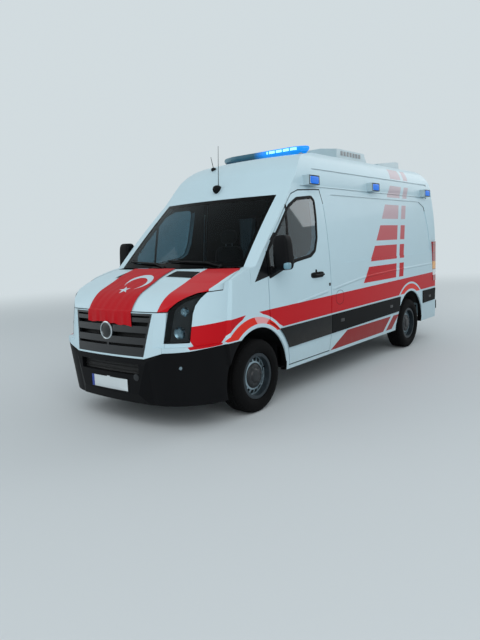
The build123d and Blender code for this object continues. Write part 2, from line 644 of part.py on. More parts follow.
# Wheels
def rim(x, y):
    """A pressed-steel wheel on its bore, hub face towards positive X, with a ring of oval vent holes."""
    turning = Plane(origin=(x, y, TYRE_RADIUS), x_dir=(1, 0, 0), z_dir=(0, -1, 0))
    half = RIM_WIDTH / 2
    bore = SPINDLE_RADIUS + BEARING_FIT
    with BuildPart() as wheel:
        with BuildSketch(turning):
            with BuildLine():
                Polyline((-half, RIM_FLANGE), (-half, RIM_SEAT - 12), (10, RIM_SEAT - 12), (10, 150), (30, 110),
                         (30, 70), (0, 60), (0, bore), (62, bore), (62, 60), (50, 75), (50, 120), (24, 165),
                         (24, RIM_SEAT - 12), (half, RIM_SEAT - 12), (half, RIM_FLANGE),
                         (half - 10, RIM_FLANGE), (half - 10, RIM_SEAT), (10 - half, RIM_SEAT),
                         (10 - half, RIM_FLANGE), close=True)
            make_face()
        revolve(axis=Axis((x, y, TYRE_RADIUS), (1, 0, 0)))
        with BuildSketch(Plane(origin=(x, y, TYRE_RADIUS), z_dir=(1, 0, 0))):
            with PolarLocations(148, VENTS):
                SlotOverall(44, 24, rotation=90)
        extrude(amount=RIM_WIDTH / 2, mode=Mode.SUBTRACT)
    return wheel.part


def tyre(x, y):
    """A tyre seated on the rim's two beads, with a bulged wall and a broad flat tread."""
    bead = RIM_WIDTH / 2 - 10
    half = TYRE_WIDTH / 2
    with BuildPart() as ring:
        with BuildSketch(Plane(origin=(x, y, TYRE_RADIUS), x_dir=(1, 0, 0), z_dir=(0, -1, 0))):
            with BuildLine():
                Polyline((0, RIM_SEAT), (bead, RIM_SEAT), (bead, RIM_FLANGE + 2), (half - 14, RIM_FLANGE + 8))
                ThreePointArc((half - 14, RIM_FLANGE + 8), (half, 275), (half - 22, TYRE_RADIUS - 12))
                Polyline((half - 22, TYRE_RADIUS - 12), (half - 45, TYRE_RADIUS), (0, TYRE_RADIUS))
                mirror(about=Plane.YZ)
            make_face()
        revolve(axis=Axis((x, y, TYRE_RADIUS), (1, 0, 0)))
    return ring.part


for place, axle_y in (("front", FRONT_AXLE), ("rear", REAR_AXLE)):
    keep_both("rim_" + place, rim(WHEEL_X, axle_y))
    keep_both("tyre_" + place, tyre(WHEEL_X, axle_y))

# Mouldings along both sides, clear of the doors that carry their own stretch
with BuildPart() as side_mouldings:
    add(TRIM_SHELL)
    add(left_prism(MOULDING) + left_prism(MOULDING_REAR), mode=Mode.INTERSECT)
    add(left_prism(DOOR, grow=DOOR_GAP), mode=Mode.SUBTRACT)
    add(REAR_ARCH, mode=Mode.SUBTRACT)
    add(block((300, WIDE), (-2200, -700), (0, 1000)), mode=Mode.SUBTRACT)
    mirror(about=Plane.YZ)
    add(cutter(SLIDER, SIDE, -WIDE, -300, grow=PANEL_GAP), mode=Mode.SUBTRACT)
keep("side_mouldings", side_mouldings.part)

# Mud flaps behind the rear wheels
with BuildPart() as mud_flaps:
    for side in (1, -1):
        add(block((side * 755, side * 885), (2172, 2180), (130, 560)))
keep("mud_flaps", mud_flaps.part)

# Light bar with pointed ends, on its feet
with BuildPart() as light_bar:
    with BuildSketch(ABOVE.offset(2574)):
        with BuildLine():
            Polyline((0, -480), (470, -480), (590, -440), (640, -390), (590, -340), (470, -300), (0, -300))
            mirror(about=Plane.YZ)
        make_face()
    extrude(amount=110)
    fillet(light_bar.faces().sort_by(Axis.Z)[-1].edges(), radius=30)
    add(envelope(-PANEL_GAP), mode=Mode.SUBTRACT)
    for x in (-520, 520):
        add(block((x - 40, x + 40), (-430, -350), (2500, 2640)) - SKIN)
keep("light_bar", light_bar.part.solids().sort_by(SortBy.VOLUME)[-1])

# Roof unit with a sloping, narrowing nose, and the raised pod behind it
with BuildPart() as roof_unit:
    with BuildSketch(SIDE.offset(-450)):
        with BuildLine():
            Polyline((0, 2600), (30, 2690), (380, 2760), (720, 2778), (1430, 2778), (1530, 2640), (1530, 2560),
                     (0, 2560), close=True)
        make_face()
    extrude(amount=900)
    with BuildSketch(ABOVE.offset(2500)):
        with BuildLine():
            Polyline((0, 0), (200, 0), (420, 640), (420, 1530), (0, 1530))
            mirror(about=Plane.YZ)
        make_face()
    extrude(amount=400, mode=Mode.INTERSECT)
    with BuildSketch(SIDE.offset(-470)):
        with BuildLine():
            Polyline((1780, 2560), (1780, 2668), (2380, 2742), (2520, 2742), (2550, 2560), close=True)
        make_face()
    extrude(amount=940)
    add(SKIN, mode=Mode.SUBTRACT)
keep("roof_unit", roof_unit.part)

# Side beacons under the gutter's line
with BuildPart() as side_beacons:
    for y in (-930, 570, 2370):
        for side in (1, -1):
            add(block((side * 800, side * 948), (y, y + 215), (2180, 2283)) - SKIN)
    small = [solid for solid in side_beacons.part.solids() if solid.volume < 1000]
    for scrap in small:
        add(scrap, mode=Mode.SUBTRACT)
keep("side_beacons", side_beacons.part)

# Flag laid over the hood
with BuildPart() as flag:
    add(envelope(-3) - SKIN)
    add(cutter([(-330, -2840), (280, -2840), (60, -2170), (-600, -2140)], ABOVE, GRILLE_TOP, 1500),
        mode=Mode.INTERSECT)
keep("flag", flag.part)

os.makedirs("parts", exist_ok=True)
for name, piece in pieces.items():
    export_step(piece, "parts/" + name + ".step")
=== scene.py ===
"""A high-roof van ambulance, dressed round its fixed frame: paint and vinyl livery, glass, rubber, lamps,
wheels, cab and the flag on its hood. Lengths are in metres. The nose faces -Y, the vehicle's left is +X."""
import math

import bmesh
import bpy
import numpy as np
from mathutils import Matrix, Vector


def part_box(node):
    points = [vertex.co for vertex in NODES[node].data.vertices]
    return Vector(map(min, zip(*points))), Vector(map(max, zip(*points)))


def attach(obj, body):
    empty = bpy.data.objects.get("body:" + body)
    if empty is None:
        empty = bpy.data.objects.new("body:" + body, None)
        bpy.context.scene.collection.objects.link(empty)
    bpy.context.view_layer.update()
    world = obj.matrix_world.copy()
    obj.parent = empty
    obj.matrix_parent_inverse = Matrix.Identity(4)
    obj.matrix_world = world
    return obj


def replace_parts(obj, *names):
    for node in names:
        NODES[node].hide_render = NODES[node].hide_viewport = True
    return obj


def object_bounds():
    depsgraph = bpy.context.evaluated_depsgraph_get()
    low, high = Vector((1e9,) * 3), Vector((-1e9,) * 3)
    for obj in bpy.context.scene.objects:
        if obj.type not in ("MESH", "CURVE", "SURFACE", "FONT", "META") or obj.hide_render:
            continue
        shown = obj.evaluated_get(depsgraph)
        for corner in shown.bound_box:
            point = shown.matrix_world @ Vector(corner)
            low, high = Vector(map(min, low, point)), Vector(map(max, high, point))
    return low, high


bl_info = {
    "name": "Van Ambulance",
    "version": (1, 0, 0),
    "blender": (4, 5, 0),
    "location": "View3D > Sidebar > Ambulance",
    "description": "Paints, glazes and fits out a high-roof van ambulance round its frame",
    "category": "Object",
}

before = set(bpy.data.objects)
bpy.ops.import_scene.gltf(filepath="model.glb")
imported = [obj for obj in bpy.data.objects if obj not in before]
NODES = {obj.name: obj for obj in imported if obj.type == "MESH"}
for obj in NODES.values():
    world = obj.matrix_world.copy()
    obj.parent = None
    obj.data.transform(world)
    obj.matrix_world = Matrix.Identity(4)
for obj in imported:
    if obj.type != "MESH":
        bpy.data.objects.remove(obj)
CAD_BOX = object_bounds()
SIDES = (("left", 1.0), ("right", -1.0))
FORWARD = (0, -1, 0)
BACKWARD = (0, 1, 0)

# Places read off the frame
WHEEL_X, FRONT_AXLE, HUB_HEIGHT = ((low + high) / 2 for low, high in zip(*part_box("tyre_front_left")))
REAR_AXLE = sum(corner.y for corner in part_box("tyre_rear_left")) / 2
REAR_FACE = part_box("rear_door_left")[1].y


def length(name, description, default):
    """A length that a user would change."""
    return bpy.props.FloatProperty(name=name, description=description, default=default, unit="LENGTH")


def colour_setting(name, description, default):
    """A colour that a user would change, as sRGB."""
    return bpy.props.FloatVectorProperty(name=name, description=description, default=default, size=3,
                                         subtype="COLOR_GAMMA")


class AmbulanceSizes(bpy.types.PropertyGroup):
    """Sizes that a user would change"""
    band_low: length("Band bottom", "Lower edge of the red band at mid length", 0.79)
    band_high: length("Band top", "Upper edge of the red band at mid length", 0.985)
    sticker_radius: length("Arch sticker", "Outer radius of the front arch stickers", 0.60)
    groove_depth: length("Tread depth", "Depth of the tyres' grooves", 0.008)
    seal_width: length("Seal width", "Width of the rubber round the door windows", 0.030)


class AmbulanceColours(bpy.types.PropertyGroup):
    """Colours that a user would change"""
    # The paint's pale cyan is white enamel leaned towards the sky's cast in shade: partly painted light
    paint: colour_setting("Paint", "Body enamel", (0.77, 0.87, 0.91))
    band: colour_setting("Band", "Red vinyl", (0.76, 0.025, 0.09))


def linear(colour):
    """The linear RGBA of an sRGB colour, given as a hex string or as three values from 0 to 1."""
    if isinstance(colour, str):
        colour = [int(colour[i:i + 2], 16) / 255 for i in (1, 3, 5)]
    return tuple(c / 12.92 if c <= 0.04045 else ((c + 0.055) / 1.055) ** 2.4 for c in colour) + (1.0,)


def shade(colour, share):
    """A linear colour made darker."""
    return tuple(c * share for c in colour[:3]) + (1.0,)


def add_node(tree, kind, *inputs, output=0, **settings):
    """Adds one node with its settings, and fills its inputs in order: an output is linked, None is skipped. A
    second word in its kind is its operation."""
    kind, _, operation = kind.partition(" ")
    node = tree.nodes.new("ShaderNode" + kind)
    if operation:
        node.operation = operation
    for name, value in settings.items():
        setattr(node, name, value)
    for socket, value in zip(node.inputs, inputs):
        if isinstance(value, bpy.types.NodeSocket):
            tree.links.new(value, socket)
        elif value is not None:
            socket.default_value = value
    return node.outputs[output]


def feed(node, **sockets):
    """Fills a node's sockets by name, with _ for a space: an output is linked, the rest are constants."""
    for name, value in sockets.items():
        socket = node.inputs[name.replace("_", " ")]
        if isinstance(value, bpy.types.NodeSocket):
            node.id_data.links.new(value, socket)
        else:
            socket.default_value = value


def new_material(name, colour, roughness, **sockets):
    """A material with its colour, roughness and other sockets by name: the material, its tree and shader."""
    made = bpy.data.materials.new(name)
    made.use_nodes = True
    shader = made.node_tree.nodes["Principled BSDF"]
    feed(shader, Base_Color=linear(colour), Roughness=roughness, **sockets)
    return made, made.node_tree, shader


def object_place(tree):
    """The object's own coordinates: the whole vector, and X, Y and Z."""
    place = add_node(tree, "TexCoord", output=3)
    return place, *add_node(tree, "SeparateXYZ", place).node.outputs


def laid(tree, tone, *layers):
    """Colours laid one over the other: each layer is (mask, colour), and shows where its mask is 1."""
    for mask, colour in layers:
        tone = add_node(tree, "MixRGB", mask, tone, linear(colour) if isinstance(colour, str) else colour)
    return tone


def over_line(tree, along, value, start, end):
    """1 where value lies above the line from start to end, each given as (along, value)."""
    slope = (end[1] - start[1]) / (end[0] - start[0])
    line = add_node(tree, "Math MULTIPLY_ADD", along, slope, start[1] - slope * start[0])
    return add_node(tree, "Math GREATER_THAN", value, line)


def chained(tree, kind, masks):
    """Masks joined one after the other by nodes of one kind."""
    result = masks[0]
    for mask in masks[1:]:
        result = add_node(tree, kind, result, mask)
    return result


def both_of(tree, *masks):
    """1 where every mask is 1."""
    return chained(tree, "Math MULTIPLY", masks)


def any_of(tree, *masks):
    """1 where any mask is 1."""
    return chained(tree, "Math MAXIMUM", masks)


def not_in(tree, mask):
    """1 where the mask is 0."""
    return add_node(tree, "Math SUBTRACT", 1.0, mask)


def between(tree, value, low, high):
    """1 where value lies from low to high. None leaves that end open."""
    if low is None:
        return add_node(tree, "Math LESS_THAN", value, high)
    if high is None:
        return add_node(tree, "Math GREATER_THAN", value, low)
    return add_node(tree, "Math COMPARE", value, (low + high) / 2, (high - low) / 2)


def disc(tree, first, second, centre, radius):
    """1 inside a circle in the plane of two coordinates."""
    across = add_node(tree, "Math SUBTRACT", first, centre[0])
    up = add_node(tree, "Math SUBTRACT", second, centre[1])
    across = add_node(tree, "Math MULTIPLY", across, across)
    return between(tree, add_node(tree, "Math MULTIPLY_ADD", up, up, across), None, radius ** 2)


# Livery, as Y and Z seen from the side
# The upper rows' strength of the red falls off: a painted paler sky reflection on the same red vinyl
BLOCK_ROWS_WITH_PAINTED_REFLECTION = ((1.05, 1.24, 1.0), (1.305, 1.495, 0.95), (1.56, 1.755, 0.85), (1.84, 2.03, 0.45),
              (2.13, 2.29, 0.36), (2.39, 2.54, 0.36))  # low, high, strength of the red
ARCH_SIZE = 0.478  # radius of the wheel arches
REAR_STICKER = 0.605  # outer radius of the rear arch stickers
STICKER_EDGE = 0.027  # white edge outside the orange


def livery(tree, x, y, z, sizes):
    """The masks of the red vinyl, of the sill panel, and of the orange arch stickers; the upper block rows
    are masked weaker, a painted sky reflection on the same vinyl.
    """
    side = add_node(tree, "Math ABSOLUTE", x)
    back_y = add_node(tree, "Math MULTIPLY", y, -1.0)
    low, high = sizes.band_low, sizes.band_high
    # The band rises and widens a little to the rear, and both its edges run lower ahead of the front arch
    front = between(tree, y, None, -2.1)
    lower = any_of(tree, over_line(tree, y, z, (-2.0, low - 0.025), (2.6, low + 0.015)),
                   both_of(tree, front, over_line(tree, y, z, (-2.70, 0.728), (-2.42, 0.740))))
    upper = not_in(tree, over_line(tree, y, z, (-2.0, high - 0.025), (2.6, high + 0.045)))
    dip = both_of(tree, front, over_line(tree, y, z, (-2.70, high - 0.070), (-2.10, high - 0.028)))
    # Over the front wheel it breaks off, in a gap that narrows upwards
    wing_gap = both_of(tree, over_line(tree, z, y, (0.735, -2.445), (0.96, -2.13)),
                       over_line(tree, z, back_y, (0.745, 1.50), (0.96, 1.935)))
    # It stays on the sides, and its front end leans
    band = both_of(tree, lower, upper, not_in(tree, dip), not_in(tree, wing_gap),
                   between(tree, side, 0.810, None),
                   over_line(tree, z, side, (0.73, 0.842), (0.80, 0.812)))
    # Each arch sticker is a ring with a white edge, cut off level at its foot
    stickers = []
    for centre, radius, foot, hub in (((-2.005, 0.345), sizes.sticker_radius, 0.725, FRONT_AXLE),
                                      ((REAR_AXLE, 0.345), REAR_STICKER, 0.775, REAR_AXLE)):
        outside = both_of(tree, disc(tree, y, z, centre, radius), between(tree, z, foot, None))
        band = both_of(tree, band, not_in(tree, outside))
        stickers.append(both_of(tree, disc(tree, y, z, centre, radius - STICKER_EDGE),
                                not_in(tree, disc(tree, y, z, (hub, HUB_HEIGHT), 0.500)),
                                between(tree, z, foot + 0.022, None)))
    # The blocks: a slanted left edge, a right edge that bends back, and a narrow column that follows it
    up = add_node(tree, "Math SUBTRACT", z, BLOCK_ROWS_WITH_PAINTED_REFLECTION[0][0])
    left = add_node(tree, "Math MULTIPLY_ADD", up, 0.86, 0.226)
    bend = add_node(tree, "Math MULTIPLY_ADD", up, 0.2022, 0.127)
    beyond = add_node(tree, "Math SUBTRACT", y, add_node(tree, "Math MULTIPLY_ADD", up, bend, 1.204))
    wide = both_of(tree, add_node(tree, "Math GREATER_THAN", y, left), between(tree, beyond, None, 0.0))
    columns = any_of(tree, between(tree, beyond, 0.10, 0.25), wide)
    # Each row's mask is scaled by its strength, so the upper rows paint paler: painted sky reflection
    rows = [add_node(tree, "Math MULTIPLY", between(tree, z, row_low, row_high), share)
            for row_low, row_high, share in BLOCK_ROWS_WITH_PAINTED_REFLECTION]
    blocks = both_of(tree, columns, any_of(tree, *rows))
    # The sill panel has slanted ends and one slanted gap
    first = over_line(tree, z, y, (0.37, -0.555), (0.544, -0.195))
    gap_start, gap_end, last = (over_line(tree, z, y, (0.374, start), (0.554, start + 0.20))
                                for start in (0.847, 0.93, 1.12))
    sill = both_of(tree, between(tree, z, 0.352, 0.535), first, not_in(tree, last),
                   not_in(tree, both_of(tree, gap_start, not_in(tree, gap_end))))
    return any_of(tree, band, blocks), sill, any_of(tree, *stickers)


def side_layers(tree, place, x, y, z, sizes, red):
    """The livery's colours, the sill's red darkened as painted shade, then the black sail behind the mirror
    and the black mouldings on the doors.
    """
    vinyl, sill, sticker = livery(tree, x, y, z, sizes)
    beads = add_node(tree, "TexVoronoi", place, None, 260.0)
    orange = add_node(tree, "MixRGB", beads, linear("#EE3A26"), linear("#D4241C"))
    pale = both_of(tree, over_line(tree, z, y, (0.83, -1.955), (0.95, -2.035)),
                   not_in(tree, over_line(tree, z, y, (0.82, -1.845), (0.93, -1.705))))
    sail = both_of(tree, over_line(tree, y, z, (-1.99, 1.237), (-1.587, 1.308)),
                   not_in(tree, over_line(tree, y, z, (-1.985, 1.232), (-1.63, 1.675))),
                   between(tree, y, None, -1.396), between(tree, z, None, 1.69))
    slider = both_of(tree, between(tree, y, None, 0.715), between(tree, x, None, 0.0))
    side = add_node(tree, "Math ABSOLUTE", x)
    moulding = both_of(tree, any_of(tree, between(tree, y, None, -0.55), slider),
                       between(tree, z, 0.54, 0.765), between(tree, side, 0.9862, None))
    # The sill panel is the band's red darkened to 0.55: painted shade low on the side
    return ((vinyl, red), (sill, shade(red, 0.55)), (sticker, laid(tree, orange, (pale, "#E9A3A6"))),
            (any_of(tree, sail, moulding), "#0B0D10"))


def body_enamel(name, sizes, colours, striped):
    """Two-pack polyurethane enamel, sprayed and lacquered: nearly flat colour under a sharp, weak reflection,
    a faint orange peel, road dust low down. The red is cut vinyl laid on it, its sill darkened as painted
    shade and its upper blocks paled as painted sky reflection; the arch stickers are glass-bead
    retroreflective sheet with a paler slanted bar. Inner faces are near-black: under the hood painted shade,
    in the cab dark trim darkened as painted shade. The arches are black wax."""
    made, tree, shader = new_material(name, tuple(colours.paint), 0.36, Coat_Weight=0.12, Coat_Roughness=0.06,
                                      Specular_IOR_Level=0.12)
    place, x, y, z = object_place(tree)
    paint = linear(tuple(colours.paint))
    red = linear(tuple(colours.band))
    cloud = add_node(tree, "TexNoise", place, None, 3.0, 3.0)
    tone = add_node(tree, "MixRGB", cloud, paint, shade(paint, 0.94))
    if striped == "side":
        tone = laid(tree, tone, *side_layers(tree, place, x, y, z, sizes, red))
    if striped == "hood":
        stripe = both_of(tree, over_line(tree, y, x, (-2.84, 0.572), (-2.07, 0.518)),
                         between(tree, x, None, 0.893))
        tone = laid(tree, tone, (stripe, red))
    dust = add_node(tree, "Math MULTIPLY", add_node(tree, "MapRange", z, 0.75, 0.15, 0.0, 0.35),
                    add_node(tree, "TexNoise", place, None, 14.0, 6.0, 0.7))
    # A face is an inner one where its normal points down under the hood, or to the vehicle's middle elsewhere
    facing = add_node(tree, "SeparateXYZ", add_node(tree, "TexCoord", output=1)).node.outputs
    if striped == "hood":
        inside = between(tree, facing[2], None, -0.1)
    else:
        lift = add_node(tree, "Math MAXIMUM", add_node(tree, "Math SUBTRACT", z, 1.7), 0.0)
        inward = add_node(tree, "Math MULTIPLY", facing[0], x)
        inward = add_node(tree, "Math MULTIPLY_ADD", facing[2], lift, inward)
        rear = both_of(tree, between(tree, y, REAR_FACE - 0.3, None), between(tree, facing[1], None, -0.5))
        inside = both_of(tree, any_of(tree, between(tree, inward, None, -0.06), rear),
                         between(tree, z, 0.66, None))
    arches = any_of(tree, disc(tree, y, z, (FRONT_AXLE, HUB_HEIGHT), ARCH_SIZE),
                    disc(tree, y, z, (REAR_AXLE, HUB_HEIGHT), ARCH_SIZE + 0.004))
    arches = both_of(tree, arches, between(tree, add_node(tree, "Math ABSOLUTE", x), None, 0.968))
    # Inner faces go near-black: under the hood this is painted shade, in the cab dark trim darkened as
    # painted shade
    tone = laid(tree, tone, (dust, "#8A857C"), (inside, "#15181A"), (arches, "#0C0C0D"))
    peel = add_node(tree, "TexNoise", place, None, 160.0, 2.0)
    feed(shader, Base_Color=tone, Normal=add_node(tree, "Bump", 0.04, 0.001, 1.0, peel))
    return made


def plain_finish(name, colour, roughness, grain_size, grain_depth, **sockets):
    """A moulded, cast or painted finish: a relief with grains of grain_size, and a slight change of tone."""
    made, tree, shader = new_material(name, colour, roughness, **sockets)
    place = object_place(tree)[0]
    base = linear(colour)
    grain = add_node(tree, "TexNoise", place, None, 1.0 / grain_size, 4.0)
    patch = add_node(tree, "TexNoise", place, None, 4.0, 4.0)
    feed(shader, Base_Color=add_node(tree, "MixRGB", patch, base, shade(base, 0.75)),
         Normal=add_node(tree, "Bump", 0.5, grain_depth, 1.0, grain))
    return made


def window_glass(name, colour, frit, **sockets):
    """Toughened float glass, body-tinted: it darkens what is behind it and mirrors the sky at a low angle. A
    windscreen has a black fired edge, cut by the lines of its sides."""
    made, tree, shader = new_material(name, colour, 0.0, Transmission_Weight=1.0, **sockets)
    place, x, y, z = object_place(tree)
    film = add_node(tree, "TexNoise", place, None, 6.0, 3.0)
    tint = add_node(tree, "MixRGB", film, linear(colour), shade(linear(colour), 0.85))
    if frit:
        side = add_node(tree, "Math ABSOLUTE", x)
        edge = any_of(tree, over_line(tree, z, side, (1.384, 0.822), (2.075, 0.737)),
                      between(tree, z, None, 1.43), between(tree, z, 2.035, None))
        tint = laid(tree, tint, (edge, "#050607"))
        feed(shader, Transmission_Weight=not_in(tree, edge))
    feed(shader, Base_Color=tint)
    return made


def light_bar_lens():
    """Moulded polycarbonate over reflectors: the vehicle's left half is lit, a row of white-blue modules
    behind flutes, and the other half is dark teal, as is the tray underneath."""
    made, tree, shader = new_material("fluted_polycarbonate", "#0E3F86", 0.22, Coat_Weight=0.15,
                                      Specular_IOR_Level=0.3)
    place, x, y, z = object_place(tree)
    lit = add_node(tree, "MapRange", x, -0.10, 0.08, 0.0, 1.0)
    end = add_node(tree, "MapRange", x, -0.36, -0.64, 0.0, 1.0)
    tone = laid(tree, linear("#0E566C"), (lit, "#0068C8"), (end, "#6C8F9C"),
                (between(tree, z, None, 2.6235), "#0A465E"))
    step = add_node(tree, "Math FRACT", add_node(tree, "Math MULTIPLY_ADD", x, 10.1, 0.753))
    module = both_of(tree, between(tree, step, 0.09, 0.91), between(tree, x, 0.095, 0.515),
                     between(tree, z, 2.637, 2.666), between(tree, y, None, -0.40))
    strength = add_node(tree, "Math MULTIPLY_ADD", module, 0.9, add_node(tree, "Math MULTIPLY", lit, 0.75))
    flute = add_node(tree, "TexWave", place, 26.0, bands_direction="X")
    feed(shader, Base_Color=tone, Emission_Color=laid(tree, linear("#0090FF"), (module, "#9CF2FF")),
         Emission_Strength=strength, Normal=add_node(tree, "Bump", 0.4, 0.004, 1.0, flute))
    return made


def beacon_lens():
    """Blue polycarbonate over a small reflector, fluted upright; it glows a little from inside."""
    made, tree, shader = new_material("blue_beacon_polycarbonate", "#0052B4", 0.25, Coat_Weight=0.05,
                                      Specular_IOR_Level=0.2, Emission_Strength=0.4,
                                      Emission_Color=linear("#0084FF"))
    flute = add_node(tree, "TexWave", object_place(tree)[0], 60.0, bands_direction="Y")
    feed(shader, Normal=add_node(tree, "Bump", 0.4, 0.002, 1.0, flute))
    return made


def tail_lens():
    """Moulded acrylic in three bays, red above, amber, and clear for reversing, over ribbed reflectors."""
    made, tree, shader = new_material("red_amber_acrylic", "#8E0F12", 0.12, Coat_Weight=0.7)
    place, x, y, z = object_place(tree)
    seam = add_node(tree, "Math PINGPONG", add_node(tree, "Math SUBTRACT", z, 1.075), 0.0625)
    tone = laid(tree, linear("#9C1014"), (between(tree, z, 1.08, 1.20), "#E8A03C"),
                (between(tree, z, 0.985, 1.07), "#D9DDDF"), (between(tree, seam, None, 0.003), "#3A0608"))
    ribs = add_node(tree, "TexWave", place, 48.0, bands_direction="Z")
    feed(shader, Base_Color=tone, Normal=add_node(tree, "Bump", 0.35, 0.002, 1.0, ribs))
    return made


FINISHES = {}

# Short name, material, colour, roughness, grain size and depth, other sockets, and the CAD nodes that wear it
PLAIN_FINISHES = (
    # Polypropylene bumpers, moulded in black with a leather grain: dull, and a little greyed by weather
    ("black", "black_grained_polypropylene", "#08090C", 0.6, 0.004, 0.0004, {"Specular_IOR_Level": 0.12},
     "front_bumper rear_bumper side_mouldings mud_flaps cowl mirror_left mirror_right fuel_tank"),
    # Indicator lens in the mirror's outer edge: smoke-blue acrylic, half glossy
    ("indicator", "smoke_blue_acrylic", "#6F9DAE", 0.25, 0.01, 0.0001, {"Coat_Weight": 0.4}, ""),
    # Grille slats, moulded ABS with a satin skin: they catch a soft line of sky along each top edge
    ("slat", "satin_black_abs", "#14181C", 0.3, 0.01, 0.0001, {}, "grille"),
    # Cavity wax over black primer: lumpy and almost matt
    ("wax", "black_underbody_wax", "#0F1011", 0.7, 0.01, 0.001, {}, "floor firewall chassis_rails"),
    # Sand-cast iron: rough skin, dull grey-brown
    ("iron", "cast_iron", "#3A3836", 0.65, 0.006, 0.0006, {"Metallic": 0.7},
     "engine rear_axle knuckle_left knuckle_right"),
    # Zinc-plated steel: pale grey with soft blotches
    ("steel", "galvanised_steel", "#8C9093", 0.45, 0.008, 0.0002, {"Metallic": 0.9},
     "front_suspension leaf_springs propshaft exhaust"),
    # Silver stove enamel on pressed wheels, darkened all over as painted shade under the arches: metal flakes
    # in clear
    ("wheel", "wheel_enamel_painted_shade", "#333C42", 0.4, 0.003, 0.0001, {"Metallic": 0.5},
     "rim_front_left rim_front_right rim_rear_left rim_rear_right"),
    # The same enamel at its own silver, on the slotted dish: brighter than the rim's painted shade
    ("dish", "silver_wheel_enamel", "#9DB2BC", 0.3, 0.003, 0.0001, {"Metallic": 0.6}, ""),
    # Vulcanised rubber: matt black-brown with a dry, fine skin
    ("rubber", "tyre_rubber", "#0A0A0B", 0.85, 0.003, 0.0003, {"Specular_IOR_Level": 0.12}, ""),
    # Extruded window rubber: smooth, darker and a little shinier than a tyre
    ("seal", "epdm_seal_rubber", "#060709", 0.6, 0.004, 0.0001, {"Specular_IOR_Level": 0.15}, ""),
    # Gel coat over glass fibre: white, half glossy, very slightly wavy
    ("shell", "white_gel_coat", "#BCD3DB", 0.35, 0.05, 0.0006, {"Coat_Weight": 0.2},
     "roof_unit side_beacons"),
    # Cab mouldings, grained polypropylene in dark grey
    ("cab", "grey_cab_polypropylene", "#0E1012", 0.6, 0.003, 0.0003, {"Specular_IOR_Level": 0.2},
     "dashboard steering_wheel"),
    # Bulkhead behind the seats, smooth hardboard, near-black as painted shade in the closed cab
    ("board", "hardboard_in_painted_shade", "#0D0F11", 0.7, 0.05, 0.0001, {"Specular_IOR_Level": 0.2}, "bulkhead"),
    # Plain woven seat cloth: matt, a bright halo of fibre ends at a low angle
    ("seat", "woven_seat_cloth", "#0F1114", 0.9, 0.002, 0.0006, {"Sheen_Weight": 0.15}, "seats"),
    # Embossed plate: white sheeting under clear film
    ("plate", "white_plate_enamel", "#DDE8EC", 0.3, 0.01, 0.0001, {}, "number_plates"),
    # Chrome on moulded ABS: a clean mirror, slightly blue
    ("chrome", "bright_chrome", "#C9D3D8", 0.08, 0.02, 0.0001, {"Metallic": 1.0}, ""),
    # Vacuum-metallised reflector: silver with a soft mirror
    ("silver", "metallised_reflector", "#8FA3AC", 0.2, 0.01, 0.0002, {"Metallic": 1.0}, ""),
    # Lamp housing, smooth dark polyester
    ("housing", "dark_lamp_housing", "#060D11", 0.3, 0.02, 0.0001, {"Specular_IOR_Level": 0.3}, ""),
    # Mirror glass with its silver behind
    ("mirror", "silvered_mirror", "#B4BEC2", 0.02, 0.05, 0.00002, {"Metallic": 1.0}, ""),
    # Blue end strip of the front plate, printed film: even and half glossy
    ("blue", "blue_plate_film", "#1B3FA0", 0.3, 0.01, 0.0001, {}, ""),
)


class AMBULANCE_OT_finishes(bpy.types.Operator):
    """Mix every finish, and lay it on each rigid panel and chassis piece"""
    bl_idname = "ambulance.finishes"
    bl_label = "Finishes"

    def execute(self, context):
        settings = context.scene.ambulance_sizes, context.scene.ambulance_colours
        # Lamp cover, moulded polycarbonate: clear, with only a hard gloss on top
        cover = new_material("clear_polycarbonate", "#C4D6DC", 0.02, Transmission_Weight=1.0, IOR=1.06,
                             Coat_Weight=0.3)[0]
        worn = [(short, plain_finish(*row, **sockets), names)
                for short, *row, sockets, names in PLAIN_FINISHES]
        worn += [
            ("side", body_enamel("white_enamel_side_livery", *settings, "side"),
             "roof body_side_left body_side_right sliding_door wing_left wing_right door_front_left "
             "door_front_right"),
            ("hood", body_enamel("white_enamel_hood_stripes", *settings, "hood"), "hood"),
            ("paint", body_enamel("white_enamel", *settings, ""),
             "front_panel rear_door_left rear_door_right"),
            ("tail", tail_lens(), "tail_lights"), ("bar", light_bar_lens(), "light_bar"),
            ("beacon", beacon_lens(), ""), ("lens", cover, "headlights"), ("flag", flag_cloth(), ""),
            ("screen", window_glass("laminated_windscreen", "#8FA4AB", True, IOR=1.12), "windscreen"),
            ("glass", window_glass("tinted_float_glass", "#7FA2B0", False, IOR=1.3, Coat_Weight=0.8,
                                   Coat_IOR=1.5),
             "door_front_glass_left door_front_glass_right"),
            ("privacy", window_glass("privacy_glass", "#2E3A3F", False, IOR=1.3),
             "sliding_door_glass rear_door_glass_left rear_door_glass_right")]
        for short, material, names in worn:
            FINISHES[short] = material
            for name in names.split():
                mesh = NODES[name].data
                mesh.materials.clear()
                mesh.materials.append(material)
        return {"FINISHED"}


# The body's analytic form, as its CAD source has it
def arc(start, middle, end, count=16):
    """Points on the circle through three points: its centre is where the two chords' upright bisectors meet,
    and the angle runs evenly from the start by way of the middle to the end."""
    a, b, c = (np.array(point, float) for point in (start, middle, end))
    centre = np.linalg.solve(2 * np.array([b - a, c - a]), np.array([b @ b - a @ a, c @ c - a @ a]))
    angles = np.unwrap([math.atan2(*(point - centre)[::-1]) for point in (a, b, c)])
    sweep = np.linspace(angles[0], angles[2], count)
    return centre + np.linalg.norm(a - centre) * np.column_stack((np.cos(sweep), np.sin(sweep)))


